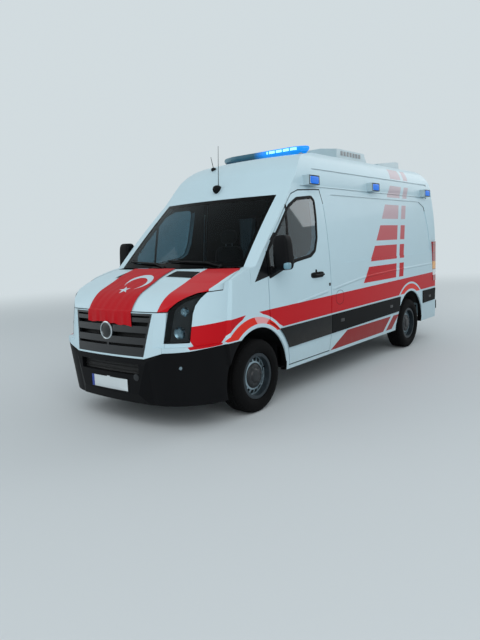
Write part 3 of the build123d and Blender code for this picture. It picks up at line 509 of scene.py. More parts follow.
NOSE_CENTRE = 1.5
NOSE_PROFILE = np.vstack((  # radius from the upright axis behind the cab, and height
    [(4.4525, 0.330), (4.4525, 0.600), (4.4445, 0.655), (4.3845, 1.043)],
    arc((4.366, 1.056), (4.290, 1.136), (4.155, 1.209)), [(3.983, 1.269)],
    arc((3.983, 1.269), (3.815, 1.330), (3.640, 1.376))[1:],
    arc((3.585, 1.384), (3.246, 1.737), (2.892, 2.075)), [(2.640, 2.355)],
    arc((2.640, 2.355), (2.430, 2.494), (2.150, 2.565))[1:], [(1.45, 2.68)]))
SECTION = np.vstack(([(0.958, 0.320), (0.985, 0.560)], arc((0.985, 1.0), (0.965, 1.5), (0.905, 2.0)),
                     arc((0.874, 2.19), (0.806, 2.44), (0.640, 2.598))))


def side_x(z):
    """The body's half width at a height."""
    return np.interp(z, SECTION[:, 1], SECTION[:, 0])


def nose_y(x, z):
    """The nose's Y at a width and a height: the profile's radius, turned about the upright axis."""
    radius = np.interp(z, NOSE_PROFILE[:, 1], NOSE_PROFILE[:, 0])
    return NOSE_CENTRE - np.sqrt(radius ** 2 - np.asarray(x) ** 2)


def nose_z(x, y):
    """The height of the hood, windscreen or roof front over a point."""
    radius = np.hypot(x, NOSE_CENTRE - np.asarray(y))
    return np.interp(-radius, -NOSE_PROFILE[:, 0], NOSE_PROFILE[:, 1])


def rounded(points, passes=3):
    """A closed polygon with its corners cut: each pass puts points at 1/4 and 3/4 of every side."""
    line = np.array(points, float)
    for _ in range(passes):
        ahead = np.roll(line, -1, axis=0)
        pairs = np.stack((0.75 * line + 0.25 * ahead, 0.25 * line + 0.75 * ahead), axis=1)
        line = pairs.reshape(-1, line.shape[1])
    return line


def divided(points, spacing):
    """A polygon's outline with points added evenly along each side."""
    line = np.array(points, float)
    parts = [start + (end - start) * np.linspace(0, 1, max(2, int(np.linalg.norm(end - start) / spacing)),
                                                 endpoint=False)[:, None]
             for start, end in zip(line, np.roll(line, -1, axis=0))]
    return np.vstack(parts)


def oblong(low, high, spacing, passes):
    """A rounded oblong between two corners in a plane."""
    corners = [low, (high[0], low[1]), high, (low[0], high[1])]
    return rounded(divided(corners, spacing), passes)


def unit(vectors):
    """Vectors made one long."""
    return vectors / np.linalg.norm(vectors, axis=-1, keepdims=True)


def tangents(path, closed):
    """The direction of travel at each point of a path."""
    if closed:
        return unit(np.roll(path, -1, axis=0) - np.roll(path, 1, axis=0))
    return unit(np.gradient(path, axis=0))


def grid_faces(rows, columns, wrap_rows, wrap_columns):
    """Quads between the neighbours of a grid of points, as index arrays."""
    i = np.arange(rows if wrap_rows else rows - 1)[:, None]
    j = np.arange(columns if wrap_columns else columns - 1)[None, :]
    next_i = (i + 1) % rows
    next_j = (j + 1) % columns
    corners = [np.broadcast_to(a * columns + b, (i.size, j.size)) for a, b in
               ((i, j), (next_i, j), (next_i, next_j), (i, next_j))]
    return np.stack(corners, axis=-1).reshape(-1, 4)


def read(items, field, width, kind=float):
    """One field of a mesh's points, faces or corners, as an array with width columns."""
    values = np.empty(len(items) * width, kind)
    items.foreach_get(field, values)
    return values.reshape(-1, width)


def put_in_scene(name, mesh, material):
    """A new object with its mesh and its finish."""
    mesh.materials.append(material)
    made = bpy.data.objects.new(name, mesh)
    bpy.context.scene.collection.objects.link(made)
    return made


def build_mesh(name, parts, material):
    """One object from several grids, each (points, wrap rows, wrap columns, caps): the caps close a tube's
    ends. Doubles are merged and the normals set outwards by the mesh's own volume."""
    points = []
    faces = []
    start = 0
    for grid, wrap_rows, wrap_columns, caps in parts:
        rows, columns = grid.shape[:2]
        faces += (grid_faces(rows, columns, wrap_rows, wrap_columns) + start).tolist()
        if caps:
            faces.append((np.arange(columns)[::-1] + start).tolist())
            faces.append((np.arange(columns) + start + (rows - 1) * columns).tolist())
        points.append(grid.reshape(-1, 3))
        start += rows * columns
    mesh = bpy.data.meshes.new(name)
    mesh.from_pydata(np.vstack(points).tolist(), [], faces)
    mesh.validate()
    clean = bmesh.new()
    clean.from_mesh(mesh)
    bmesh.ops.remove_doubles(clean, verts=clean.verts, dist=1e-6)
    bmesh.ops.recalc_face_normals(clean, faces=clean.faces)
    clean.to_mesh(mesh)
    clean.free()
    mesh.polygons.foreach_set("use_smooth", np.ones(len(mesh.polygons), bool))
    return put_in_scene(name, mesh, material)


SHARP = math.radians(35)


def fit(name, parts, material, body="ambulance", sharp=True):
    """A finished piece on its body: when sharp, faces that meet at more than 35 degrees keep a hard edge."""
    made = build_mesh(name, parts, FINISHES[material])
    if sharp:
        made.data.set_sharp_from_angle(angle=SHARP)
    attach(made, body)
    return made


def flipped(part, sign):
    """The part's mirror image for the other side, where sign is -1."""
    return part[0] * np.array((sign, 1.0, 1.0)), *part[1:]


def both_sides(parts):
    """The parts and their mirror images."""
    return [flipped(part, sign) for side, sign in SIDES for part in parts]


def fit_pair(name, parts, material, door=None, sharp=True):
    """One piece on the left and its mirror image on the right, each on its own door or on the body."""
    return [fit(f"{name}_{side}", [flipped(part, sign) for part in parts], material,
                f"{door}_{side}" if door else "ambulance", sharp) for side, sign in SIDES]


def spin(profile, centre, axis, steps=48):
    """A surface of revolution: a profile of (distance along the axis, radius), turned about the axis. The
    point at angle t is the centre, plus the axis times the distance, plus the radius times (cos t, sin t)
    across."""
    profile = np.array(profile, float)
    axis = unit(np.array(axis, float))
    first = unit(np.cross(axis, (0.0, 0.0, 1.0) if abs(axis[2]) < 0.9 else (1.0, 0.0, 0.0)))
    turn = np.linspace(0, 2 * math.pi, steps, endpoint=False)[:, None]
    ring = np.cos(turn) * first + np.sin(turn) * np.cross(axis, first)
    return (np.array(centre, float) + profile[None, :, :1] * axis + profile[None, :, 1:] * ring[:, None, :],
            True, False, False)


def carried(path, across, out, profile, closed=False):
    """A profile of (across, out) carried along a path: the path's point, plus the profile's first value along
    the across direction, plus its second along the out direction. One direction may serve the whole path."""
    profile = np.array(profile, float)
    across, out = (np.broadcast_to(way, path.shape)[:, None, :] for way in (across, out))
    points = path[:, None, :] + profile[None, :, :1] * across + profile[None, :, 1:] * out
    return points, closed, True, not closed


def bordered(path, out, profile):
    """A strip round a closed path: a profile of (inwards, out), where inwards is upright to the path's
    direction and to out, and points to the path's middle."""
    across = unit(np.cross(out, tangents(path, True)))
    across *= np.sign(np.sum((path.mean(axis=0) - path) * across))
    return carried(path, across, out, profile, True)


def pipe(path, radius, sides=10):
    """A round tube along an open path: circles upright to the path's direction."""
    path = np.array(path, float)
    along = tangents(path, False)
    helper = np.where(np.abs(along[:, 2:3]) < 0.9, np.array((0.0, 0.0, 1.0)), np.array((1.0, 0.0, 0.0)))
    across = unit(np.cross(along, helper))[:, None, :]
    out = np.cross(along[:, None, :], across)
    turn = np.linspace(0, 2 * math.pi, sides, endpoint=False)[None, :, None]
    radius = np.broadcast_to(radius, len(path))[:, None, None]
    return path[:, None, :] + radius * (np.cos(turn) * across + np.sin(turn) * out), False, True, True


def swollen_box(low, high, power=5.0, steps=(24, 36), crown=0.0):
    """A rounded block between two corners: a sphere whose sines and cosines are raised to 2 / power, so that
    power 2 is an ellipsoid and a larger one is squarer. A crown lifts the middle of its top."""
    low, high = np.array(low, float), np.array(high, float)
    rise = np.linspace(-math.pi / 2, math.pi / 2, steps[0])[:, None]
    turn = np.linspace(0, 2 * math.pi, steps[1], endpoint=False)[None, :]
    wide, tall, right, back = (np.sign(value) * np.abs(value) ** (2 / power) for value in
                               (np.cos(rise), np.sin(rise), np.cos(turn), np.sin(turn)))
    ball = np.stack((wide * right, wide * back, tall * np.ones_like(turn)), axis=-1)
    points = (low + high) / 2 + ball * (high - low) / 2
    points[..., 2] += crown * np.clip(ball[..., 2], 0, 1) * (1 - ball[..., 0] ** 2) * (1 - ball[..., 1] ** 2)
    return points, False, True, False


def open_grid(x, y, z):
    """An open surface from three arrays that spread to one grid."""
    return np.stack(np.broadcast_arrays(x, y, z), axis=-1), False, False, False


def touch(name, origin, direction):
    """Where a ray meets a CAD node."""
    hit, place, _, _ = NODES[name].ray_cast(Vector(origin), Vector(direction).normalized())
    if not hit:
        raise RuntimeError("no surface of " + name + " on that line")
    return np.array(place)


# Camera of the photograph, in the frame's axes
EYE = (4.0648, -6.0374, 1.5909)
HEADING = 0.6796
TILT = -0.1354
BANK = -0.0453
FOCAL_PIXELS = 554.67
PICTURE_HEIGHT = 640.0
SENSOR = 36.0

BACKDROP = linear("#DCE6EA")
BACKDROP_GLOW = 0.9
SKY_LIGHT = 0.55
FADE_START = 4.5  # distance from the middle at which the floor begins to take the backdrop's colour
FADE_END = 19.0
FLOOR_REACH = 70.0
LAMPS = (("key_light", (7.0, -8.0, 7.0), 9.0, 560.0), ("fill_light", (-7.0, -6.0, 5.5), 8.0, 200.0),
         ("back_light", (3.0, 9.0, 7.0), 8.0, 300.0))  # name, place, size and power
LAMP_TARGET = Vector((0, 0, 1.0))


def look_matrix():
    """The camera's place and turn: it looks along its heading and tilt, banked a little about its axis."""
    ahead = Vector((-math.sin(HEADING) * math.cos(TILT), math.cos(HEADING) * math.cos(TILT), math.sin(TILT)))
    level = ahead.cross(Vector((0, 0, 1))).normalized()
    upright = level.cross(ahead)
    right = level * math.cos(BANK) + upright * math.sin(BANK)
    top = upright * math.cos(BANK) - level * math.sin(BANK)
    return Matrix.Translation(EYE) @ Matrix((right, top, -ahead)).transposed().to_4x4()


def backdrop_rays(tree):
    """1 for the rays that show the backdrop: the camera's own, those off gloss and those through glass."""
    rays = add_node(tree, "LightPath").node.outputs
    return any_of(tree, rays["Is Camera Ray"], rays["Is Glossy Ray"], rays["Is Transmission Ray"])


class AMBULANCE_OT_stage(bpy.types.Operator):
    """Lay the floor, hang the lights and set the camera"""
    bl_idname = "ambulance.stage"
    bl_label = "Stage"

    def execute(self, context):
        scene = context.scene
        scene.view_settings.view_transform = "Standard"
        camera = bpy.data.objects.new("camera", bpy.data.cameras.new("camera"))
        camera.data.lens = FOCAL_PIXELS * SENSOR / PICTURE_HEIGHT
        camera.data.sensor_width = SENSOR
        camera.matrix_world = look_matrix()
        scene.collection.objects.link(camera)
        scene.camera = camera
        # Pale vinyl floor sheet: matt near the vehicle, the backdrop's colour far off, so no horizon shows
        made, tree, shader = new_material("pale_floor_sheet", "#CDD3D6", 0.7)
        far = add_node(tree, "VectorMath LENGTH", object_place(tree)[0], output=1)
        far = add_node(tree, "MapRange", far, FADE_START, FADE_END, 0.0, 1.0, interpolation_type="SMOOTHSTEP")
        share = add_node(tree, "Math MULTIPLY", far, backdrop_rays(tree))
        glow = add_node(tree, "Emission", BACKDROP, BACKDROP_GLOW)
        mixed = add_node(tree, "MixShader", share, shader.outputs[0], glow)
        feed(tree.nodes["Material Output"], Surface=mixed)
        step = np.linspace(-FLOOR_REACH, FLOOR_REACH, 9)
        build_mesh("floor_sheet", [open_grid(step[:, None], step, 0.0)], made)
        world = bpy.data.worlds.new("studio")
        scene.world = world
        world.use_nodes = True
        sky = world.node_tree
        feed(sky.nodes["Background"], Color=BACKDROP,
             Strength=add_node(sky, "MapRange", backdrop_rays(sky), 0.0, 1.0, SKY_LIGHT, BACKDROP_GLOW))
        for name, spot, size, power in LAMPS:
            lamp = bpy.data.objects.new(name, bpy.data.lights.new(name, "AREA"))
            lamp.data.size = size
            lamp.data.energy = power
            lamp.location = spot
            lamp.rotation_mode = "QUATERNION"
            lamp.rotation_quaternion = (LAMP_TARGET - Vector(spot)).to_track_quat("-Z", "Y")
            scene.collection.objects.link(lamp)
        return {"FINISHED"}


# Half of the tyre's section, as distance from its middle plane and radius
TYRE_WALL = np.vstack((arc((0.1035, 0.226), (0.1173, 0.275), (0.0957, 0.3375), 12), [(0.0850, 0.345)]))
TYRE_BEAD = np.array([(0.0935, 0.224), (0.085, 0.219), (0.083, 0.201)])
TREAD_HALF = 0.0725
TREAD_RADIUS = 0.3498
# Distance from the wheel's middle plane and radius
HUB_CAP = [(0.046, 0.0), (0.046, 0.119), (0.0525, 0.1205), (0.0565, 0.1185), (0.0575, 0.112), (0.0615, 0.109),
           (0.0665, 0.095), (0.069, 0.070), (0.0765, 0.062), (0.081, 0.052), (0.0835, 0.030), (0.084, 0.0)]
DISH_INNER = [(0.046, 0.1195), (0.0525, 0.1215), (0.0520, 0.134), (0.0490, 0.139), (0.045, 0.139)]
DISH_OUTER = [(0.030, 0.176), (0.0345, 0.178), (0.0345, 0.187), (0.026, 0.1885)]
# Across the spoke, and outwards
SPOKE = [(-0.010, -0.006), (-0.010, -0.001), (0.0, 0.0015), (0.010, -0.001), (0.010, -0.006)]
SPOKES = 16
# The valve's stem, from the hub
VALVE = [(0.020, 0.168, 0.05), (0.042, 0.172, 0.05), (0.054, 0.172, 0.05)]


def tyre_surface():
    """The tyre's section and, over its angles, its radius: the tread is cut by four grooves, by 60 slanted
    sipes at the shoulders and by finer ones between them, and a plain ring stands on the wall."""
    depth = bpy.context.scene.ambulance_sizes.groove_depth
    tread = np.column_stack((np.linspace(-TREAD_HALF, TREAD_HALF, 45), np.full(45, TREAD_RADIUS)))
    section = (TYRE_BEAD[::-1] * (-1, 1), TYRE_WALL * (-1, 1), tread, TYRE_WALL[::-1], TYRE_BEAD)
    w, r = np.vstack(section).T
    turn = np.linspace(0, 2 * math.pi, 360, endpoint=False)[:, None]
    grooves = np.min(np.abs(w[:, None] - np.array((-0.052, -0.019, 0.019, 0.052))), axis=1) < 0.0045
    phase = (turn * 60 / (2 * math.pi) + np.abs(w) * 18) % 1.0
    sipes = (phase < 0.22) & (np.abs(w) > 0.055) & (r > 0.335)
    fine = ((phase * 2) % 1.0 < 0.2) & (np.abs(w) <= 0.045) & (r > 0.345)
    cut = np.maximum(grooves * (r > 0.344) * depth, np.maximum(sipes * depth * 0.75, fine * depth * 0.3))
    return w, turn, r - cut + 0.0006 * ((r > 0.255) & (r < 0.2575))


class AMBULANCE_OT_wheels(bpy.types.Operator):
    """Fit the treaded tyres, the hub caps, the slotted dishes and the valves"""
    bl_idname = "ambulance.wheels"
    bl_label = "Wheels"

    def execute(self, context):
        w, turn, radius = tyre_surface()
        cap = np.array(HUB_CAP)
        finer = np.linspace(0, 1, 5)[1:, None]
        cap = np.vstack((cap[:1], (cap[:-1, None] + (cap[1:] - cap[:-1])[:, None] * finer).reshape(-1, 2)))
        reach = np.linspace(0.134, 0.181, 8)
        for place, axle, side, sign in [(*row, *side) for row in (("front", FRONT_AXLE), ("rear", REAR_AXLE))
                                        for side in SIDES]:
            where = f"{place}_{side}"
            body = "wheel_" + where
            hub = np.array((sign * WHEEL_X, axle, HUB_HEIGHT))
            points = np.stack((sign * (WHEEL_X + w) * np.ones_like(turn), axle + radius * np.cos(turn),
                               HUB_HEIGHT + radius * np.sin(turn)), axis=-1)
            tyre = fit("tread_tyre_" + where, [(points, True, True, False)], "rubber", body)
            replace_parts(tyre, "tyre_" + where)
            # A domed plastic cap over the whole bolt circle, with a stepped rim and six shallow bosses
            dome = spin(cap, hub, (sign, 0, 0), 96)
            spread = dome[0] - hub
            angle = np.arctan2(spread[..., 2], spread[..., 1])
            wide = np.hypot(spread[..., 1], spread[..., 2])
            boss = np.exp(-((wide - 0.088) / 0.010) ** 2) * np.clip(np.cos(6 * angle) * 2.5 - 1.2, 0, 1)
            dome[0][..., 0] += sign * 0.005 * boss * (np.abs(spread[..., 0]) > 0.06)
            fit("hub_cap_" + where, [dome], "slat", body)
            # The pressed dish round the cap: an inner and an outer ring, and a spoke between every two slots
            dish = [spin(ring, hub, (sign, 0, 0), 96) for ring in (DISH_INNER, DISH_OUTER)]
            for step in np.linspace(0, 2 * math.pi, SPOKES, endpoint=False):
                path = hub + reach[:, None] * np.array((0.0, math.cos(step), math.sin(step)))
                path[:, 0] += sign * np.interp(reach, (0.134, 0.181), (0.0505, 0.0335))
                dish.append(carried(path, (0.0, -math.sin(step), math.cos(step)), (sign, 0.0, 0.0), SPOKE))
            fit("wheel_dish_" + where, dish, "dish", body)
            valve = hub + np.array((sign, 1, 1)) * VALVE
            fit("valve_" + where, [pipe(valve, (0.0045, 0.004, 0.0045))], "rubber", body)
        return {"FINISHED"}


DOOR_WINDOW = [(-1.742, 1.255), (-1.742, 1.530), (-1.590, 1.672), (-1.420, 1.838), (-1.290, 1.962),
               (-1.113, 2.045), (-0.808, 2.071), (-0.755, 2.024), (-0.766, 1.849), (-0.802, 1.617),
               (-0.868, 1.480), (-0.965, 1.427), (-1.265, 1.391)]
SLIDER_WINDOW = [(-0.380, 1.360), (-0.380, 1.980), (0.540, 1.980), (0.540, 1.360)]
REAR_WINDOW = [(0.120, 1.420), (0.120, 2.060), (0.660, 2.060), (0.690, 1.420)]
SLIDER_RUBBER = 0.022


def side_seal(outline, width):
    """A rubber strip round a window of the left side: a shallow crowned profile carried along the window's
    rounded outline, which lies on the body's side."""
    y, z = rounded(divided(outline, 0.05), 2).T
    slope = np.interp(z, SECTION[:, 1], np.gradient(SECTION[:, 0], SECTION[:, 1]))
    out = unit(np.column_stack((np.ones(len(y)), np.zeros(len(y)), -slope)))
    return bordered(np.column_stack((side_x(z), y, z)), out,
                    [(-0.004, -0.003), (-0.004, 0.0015), (0.0, 0.0035), (width - 0.006, 0.0025), (width, 0.0),
                     (width, -0.004)])


class AMBULANCE_OT_glazing(bpy.types.Operator):
    """Fit the window rubbers, the quarter-light bars and the wipers"""
    bl_idname = "ambulance.glazing"
    bl_label = "Glazing"

    def execute(self, context):
        z = np.linspace(1.40, 1.965, 12)
        y = np.interp(z, (1.40, 1.65, 1.962), (-1.398, -1.37, -1.334))
        bar = carried(np.column_stack((side_x(z) - 0.001, y, z)), (0.0, 1.0, 0.0), (1.0, 0.0, 0.0),
                      [(-0.016, -0.003), (-0.014, 0.003), (0.014, 0.003), (0.016, -0.003)])
        seal = side_seal(DOOR_WINDOW, context.scene.ambulance_sizes.seal_width)
        fit_pair("window_rubber", [seal, bar], "seal", "door_front")
        fit("slider_rubber", [flipped(side_seal(SLIDER_WINDOW, SLIDER_RUBBER), -1.0)], "seal")
        x, z = rounded(divided(REAR_WINDOW, 0.05), 2).T
        path = np.column_stack((x, REAR_FACE - np.interp(z, (1.3, 2.35), (0.0, 0.016)), z))
        rubber = bordered(path, BACKWARD,
                          [(-0.004, -0.003), (-0.004, 0.002), (0.018, 0.002), (0.020, -0.004)])
        fit_pair("rear_rubber", [rubber], "seal", "rear_door")
        wipers = []
        for pivot_x, tip_x in ((0.62, -0.06), (-0.10, -0.74)):
            share = np.linspace(0, 1, 14)
            x = pivot_x + (tip_x - pivot_x) * share
            z = np.interp(share, (0, 0.25, 1), (1.392, 1.430, 1.452))
            y = nose_y(x, z) - np.interp(share, (0, 0.3, 1), (0.012, 0.022, 0.016))
            wipers.append(pipe(np.column_stack((x, y, z)), np.linspace(0.011, 0.005, 14), 8))
            x = np.linspace(pivot_x - 0.12, tip_x - 0.04, 24)
            z = 1.428 + 0.030 * (pivot_x - x) / 0.72
            wipers.append(pipe(np.column_stack((x, nose_y(x, z) - 0.007, z)), 0.0055, 6))
            boss = (pivot_x, nose_y(pivot_x, 1.390) - 0.004, 1.390)
            wipers.append(spin([(-0.02, 0.0), (-0.02, 0.02), (0.012, 0.018), (0.016, 0.0)], boss,
                               (0, -0.7, 0.7), 20))
        fit("wipers", wipers, "seal")
        return {"FINISHED"}


class AMBULANCE_OT_mirrors(bpy.types.Operator):
    """Fit the door mirrors: a moulded head, its foot, the indicator and the glass"""
    bl_idname = "ambulance.mirrors"
    bl_label = "Mirrors"

    def execute(self, context):
        head = swollen_box((1.029, -1.762, 1.332), (1.2075, -1.632, 1.660), 5.0, (40, 56))
        points = head[0]
        taper = np.clip((points[..., 2] - 1.332) / 0.328, 0, 1)
        points[..., 0] -= 0.026 * taper ** 1.5 * np.clip((points[..., 0] - 1.05) / 0.15, 0, 1)
        arm = pipe([(0.968, -1.706, 1.322), (1.02, -1.708, 1.326), (1.075, -1.708, 1.360),
                    (1.09, -1.705, 1.40)], (0.030, 0.027, 0.028, 0.030), 20)
        foot = swollen_box((0.955, -1.738, 1.288), (1.012, -1.672, 1.372), 4.0, (16, 24))
        heads = fit_pair("mirror_head", [head, arm, foot], "black", "door_front", sharp=False)
        for made, (side, sign) in zip(heads, SIDES):
            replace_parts(made, "mirror_" + side)
        lamp = swollen_box((1.146, -1.7635, 1.338), (1.2082, -1.690, 1.412), 3.0)
        fit_pair("mirror_indicator", [lamp], "indicator", "door_front", False)
        glass = swollen_box((1.046, -1.640, 1.352), (1.172, -1.629, 1.636), 6.0, (16, 40))
        fit_pair("mirror_glass", [glass], "mirror", "door_front", False)
        return {"FINISHED"}


AHEAD_OF_NOSE = -3.2  # where rays towards the front start
BADGE = (-0.025, -2.913, 0.872)
# Distance forward from the badge's place, and radius
BADGE_RING = [(-0.004, 0.084), (0.006, 0.084), (0.011, 0.078), (0.009, 0.069), (0.003, 0.067),
              (-0.004, 0.067)]
BADGE_DISC = [(-0.002, 0.068), (0.002, 0.068), (0.006, 0.055), (0.008, 0.0)]
PLATE_RIM = [(-0.007, -0.004), (-0.007, 0.002), (0.007, 0.002), (0.007, -0.004)]


class AMBULANCE_OT_front(bpy.types.Operator):
    """Fit the badge disc, radiator, intake net, plate frame and strip, parking sensors and tow cover"""
    bl_idname = "ambulance.front"
    bl_label = "Front"

    def execute(self, context):
        fit("badge_ring", [spin(BADGE_RING, BADGE, FORWARD, 64)], "chrome")
        fit("badge_disc", [spin(BADGE_DISC, BADGE, FORWARD, 64)], "slat")
        x = np.linspace(-0.53, 0.53, 60)[:, None]
        z = np.linspace(0.645, 1.035, 60)
        core = open_grid(x, nose_y(x, z) + 0.066 + 0.003 * ((z * 130) % 1 > 0.5), z)
        fit("radiator_core", [core], "wax", sharp=False)
        x = np.linspace(-0.42, 0.42, 90)[:, None]
        z = np.linspace(0.485, 0.615, 22)
        fit("intake_net", [open_grid(x, nose_y(x, z) + 0.040 + 0.006 * ((z * 36) % 1 > 0.3), z)], "wax")
        low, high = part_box("number_plates")
        x, z = oblong((low.x, low.z), (high.x, high.z), 0.03, 1).T
        path = np.column_stack((x, np.maximum(nose_y(x, z), CAD_BOX[0].y + 0.0021), z))
        fit("plate_frame", [bordered(path, FORWARD, PLATE_RIM)], "black")
        x = np.linspace(low.x + 0.008, low.x + 0.045, 5)[:, None]
        z = np.linspace(low.z + 0.008, high.z - 0.008, 5)
        strip = open_grid(x, np.maximum(nose_y(x, z) - 0.0008, CAD_BOX[0].y + 0.0001), z)
        fit("plate_strip", [strip], "blue", sharp=False)
        eye = [(-0.003, 0.0), (-0.003, 0.016), (0.002, 0.015), (0.003, 0.011), (0.0045, 0.010), (0.0045, 0.0)]
        sensors = [spin(eye, touch("front_bumper", (sign * 0.771, AHEAD_OF_NOSE, 0.574), BACKWARD),
                        (sign * 0.55, -1, 0), 24) for side, sign in SIDES]
        fit("parking_sensors", sensors, "silver")
        cover = spin([(-0.003, 0.0), (-0.003, 0.032), (0.002, 0.031), (0.003, 0.027), (0.003, 0.0)],
                     touch("front_bumper", (0.368, AHEAD_OF_NOSE, 0.481), BACKWARD), (0.09, -1, 0), 32)
        fit("tow_cover", [cover], "slat")
        return {"FINISHED"}


def lamp_housing():
    """The inner faces of the headlamps' solid, moved 2.5 mm inwards: those that turn away from the lamp's own
    forward direction, which leans out to the side."""
    mesh = NODES["headlights"].data
    corner = read(mesh.vertices, "co", 3)[read(mesh.polygons, "vertices", 3, int)]
    normal = unit(np.cross(corner[:, 1] - corner[:, 0], corner[:, 2] - corner[:, 0]) + 1e-12)
    lean = 0.5 * np.sign(corner[:, 0, 0])
    ahead = unit(np.column_stack((lean, np.full(len(corner), -0.86), np.zeros(len(corner)))))
    back = np.sum(normal * ahead, axis=1) < 0.45
    kept = corner[back] - 0.0025 * normal[back][:, None, :]
    housing = bpy.data.meshes.new("headlight_housing")
    housing.from_pydata(kept.reshape(-1, 3).tolist(), [], np.arange(len(kept) * 3).reshape(-1, 3).tolist())
    return housing


class AMBULANCE_OT_lamps(bpy.types.Operator):
    """Fill the headlamps, and fit the beacons' lenses and frames"""
    bl_idname = "ambulance.lamps"
    bl_label = "Lamps"

    def execute(self, context):
        made = put_in_scene("headlight_housing", lamp_housing(), FINISHES["housing"])
        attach(made, "ambulance")
        bowls = []
        share = np.linspace(0, 1, 12)
        bulb = np.column_stack((0.022 * np.sin(share * math.pi / 2), 0.010 * np.cos(share * math.pi / 2)))
        for side, sign in SIDES:
            for x, z, size in ((0.770, 1.045, 0.036), (0.745, 0.868, 0.050)):
                spot = touch("headlights", (sign * x, AHEAD_OF_NOSE, z), BACKWARD)
                lean = unit(np.array((sign * 0.25, -1.0, 0.0)))
                rim = [(0.032, size * 1.05), (0.026, size * 1.06), (-0.004, 0.0)]
                bowl = np.vstack((np.column_stack((0.030 * share ** 2, size * share)), rim))
                bowls.append(spin(bowl, spot - lean * 0.046, lean, 40))
                bowls.append(spin(bulb, spot - lean * 0.044, lean, 20))
        fit("headlight_reflectors", bowls, "silver")
        low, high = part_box("side_beacons")
        lenses = []
        frames = []
        for start in (-0.930, 0.570, 2.370):
            lenses.append(swollen_box((0.905, start + 0.022, low.z + 0.010),
                                      (high.x + 0.004, start + 0.208, high.z - 0.010), 6.0, (24, 40)))
            line = oblong((start + 0.004, low.z + 0.002), (start + 0.213, high.z - 0.002), 0.02, 2)
            frames.append(bordered(np.column_stack((np.full(len(line), high.x), line)), (1.0, 0.0, 0.0),
                                   [(0.0, -0.004), (0.001, 0.002), (0.010, 0.002), (0.012, -0.004)]))
        fit("beacon_frames", both_sides(frames), "seal")
        fit("beacon_lenses", both_sides(lenses), "beacon", sharp=False)
        return {"FINISHED"}


BAR_OUTLINE = [(0.0, -0.480), (0.470, -0.480), (0.590, -0.440), (0.640, -0.390), (0.590, -0.340),
               (0.470, -0.300), (-0.470, -0.300), (-0.590, -0.340), (-0.640, -0.390), (-0.590, -0.440),
               (-0.470, -0.480)]
BAR_RINGS = [  # share of the outline's length and depth, and height
    (0.0, 0.0, 2.564), (0.86, 0.78, 2.564), (0.895, 0.86, 2.569), (0.93, 0.92, 2.590),
    (0.962, 0.955, 2.618), (0.975, 0.965, 2.6215), (0.975, 0.965, 2.625), (0.988, 0.985, 2.628),
    (1.0, 1.0, 2.655), (0.995, 0.985, 2.665), (0.975, 0.93, 2.674), (0.94, 0.82, 2.680),
    (0.84, 0.55, 2.684), (0.0, 0.0, 2.684)]


class AMBULANCE_OT_light_bar(bpy.types.Operator):
    """Build the light bar: its tray, its fluted lens with tapered ends, and its feet"""
    bl_idname = "ambulance.light_bar"
    bl_label = "Light bar"

    def execute(self, context):
        # Each ring is the outline drawn in towards its middle; below the lens it is lifted clear of the roof
        line = rounded(divided(BAR_OUTLINE, 0.04), 2)
        middle = (line.min(axis=0) + line.max(axis=0)) / 2
        rings = np.array(BAR_RINGS)
        flat = middle + rings[:, None, :2] * (line - middle)[None]
        points = np.dstack((flat, np.broadcast_to(rings[:, None, 2:], flat[..., :1].shape)))
        roof = nose_z(points[..., 0], points[..., 1]) + 0.006
        low = np.interp(points[..., 2], (2.564, 2.628), (1.0, 0.0))
        points[..., 2] += low * np.clip(roof - points[..., 2], 0, 0.055)
        made = fit("light_bar_shell", [(points, False, True, False)], "bar")
        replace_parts(made, "light_bar")
        foot = swollen_box((0.475, -0.445, 2.545), (0.565, -0.335, 2.612), 5.0, (16, 32))
        fit("light_bar_feet", both_sides([foot]), "steel", sharp=False)
        return {"FINISHED"}


# Step well below the cab's floor, as X and Z: the sill's edge, the tread, the riser, and the underside
STEP_SECTION = [(0.952, 0.3515), (0.952, 0.3555), (0.775, 0.3565), (0.752, 0.3640), (0.744, 0.385),
                (0.744, 0.601), (0.740, 0.601), (0.740, 0.380), (0.748, 0.3585), (0.770, 0.3525)]
STEP_ENDS = (-1.556, -0.560)
# Front half of an arch's liner, as radius from the hub and X, with its inner flange
LINER_SECTION = [(0.460, 0.925), (0.460, 0.504), (0.330, 0.504), (0.330, 0.500), (0.464, 0.500),
                 (0.464, 0.925)]


def step_well():
    """The left step well: its section carried along Y, and a wall at each end."""
    y = np.linspace(-1.552, -0.560, 24)
    path = np.column_stack((np.zeros(24), y, np.zeros(24)))
    walls = [swollen_box((0.741, end, 0.3530), (0.902, end + 0.004, 0.601), 14.0, (12, 40))
             for end in STEP_ENDS]
    return [carried(path, (1.0, 0.0, 0.0), (0.0, 0.0, 1.0), STEP_SECTION), *walls]


def arch_liner():
    """The left liner: its section turned about the front axle, from 15 degrees below to 32 above the hub."""
    angle = np.radians(np.linspace(-15.0, 32.0, 24))[:, None]
    radius, x = np.array(LINER_SECTION).T
    arch = open_grid(x, FRONT_AXLE - np.cos(angle) * radius, HUB_HEIGHT + np.sin(angle) * radius)[0]
    return arch, False, True, True


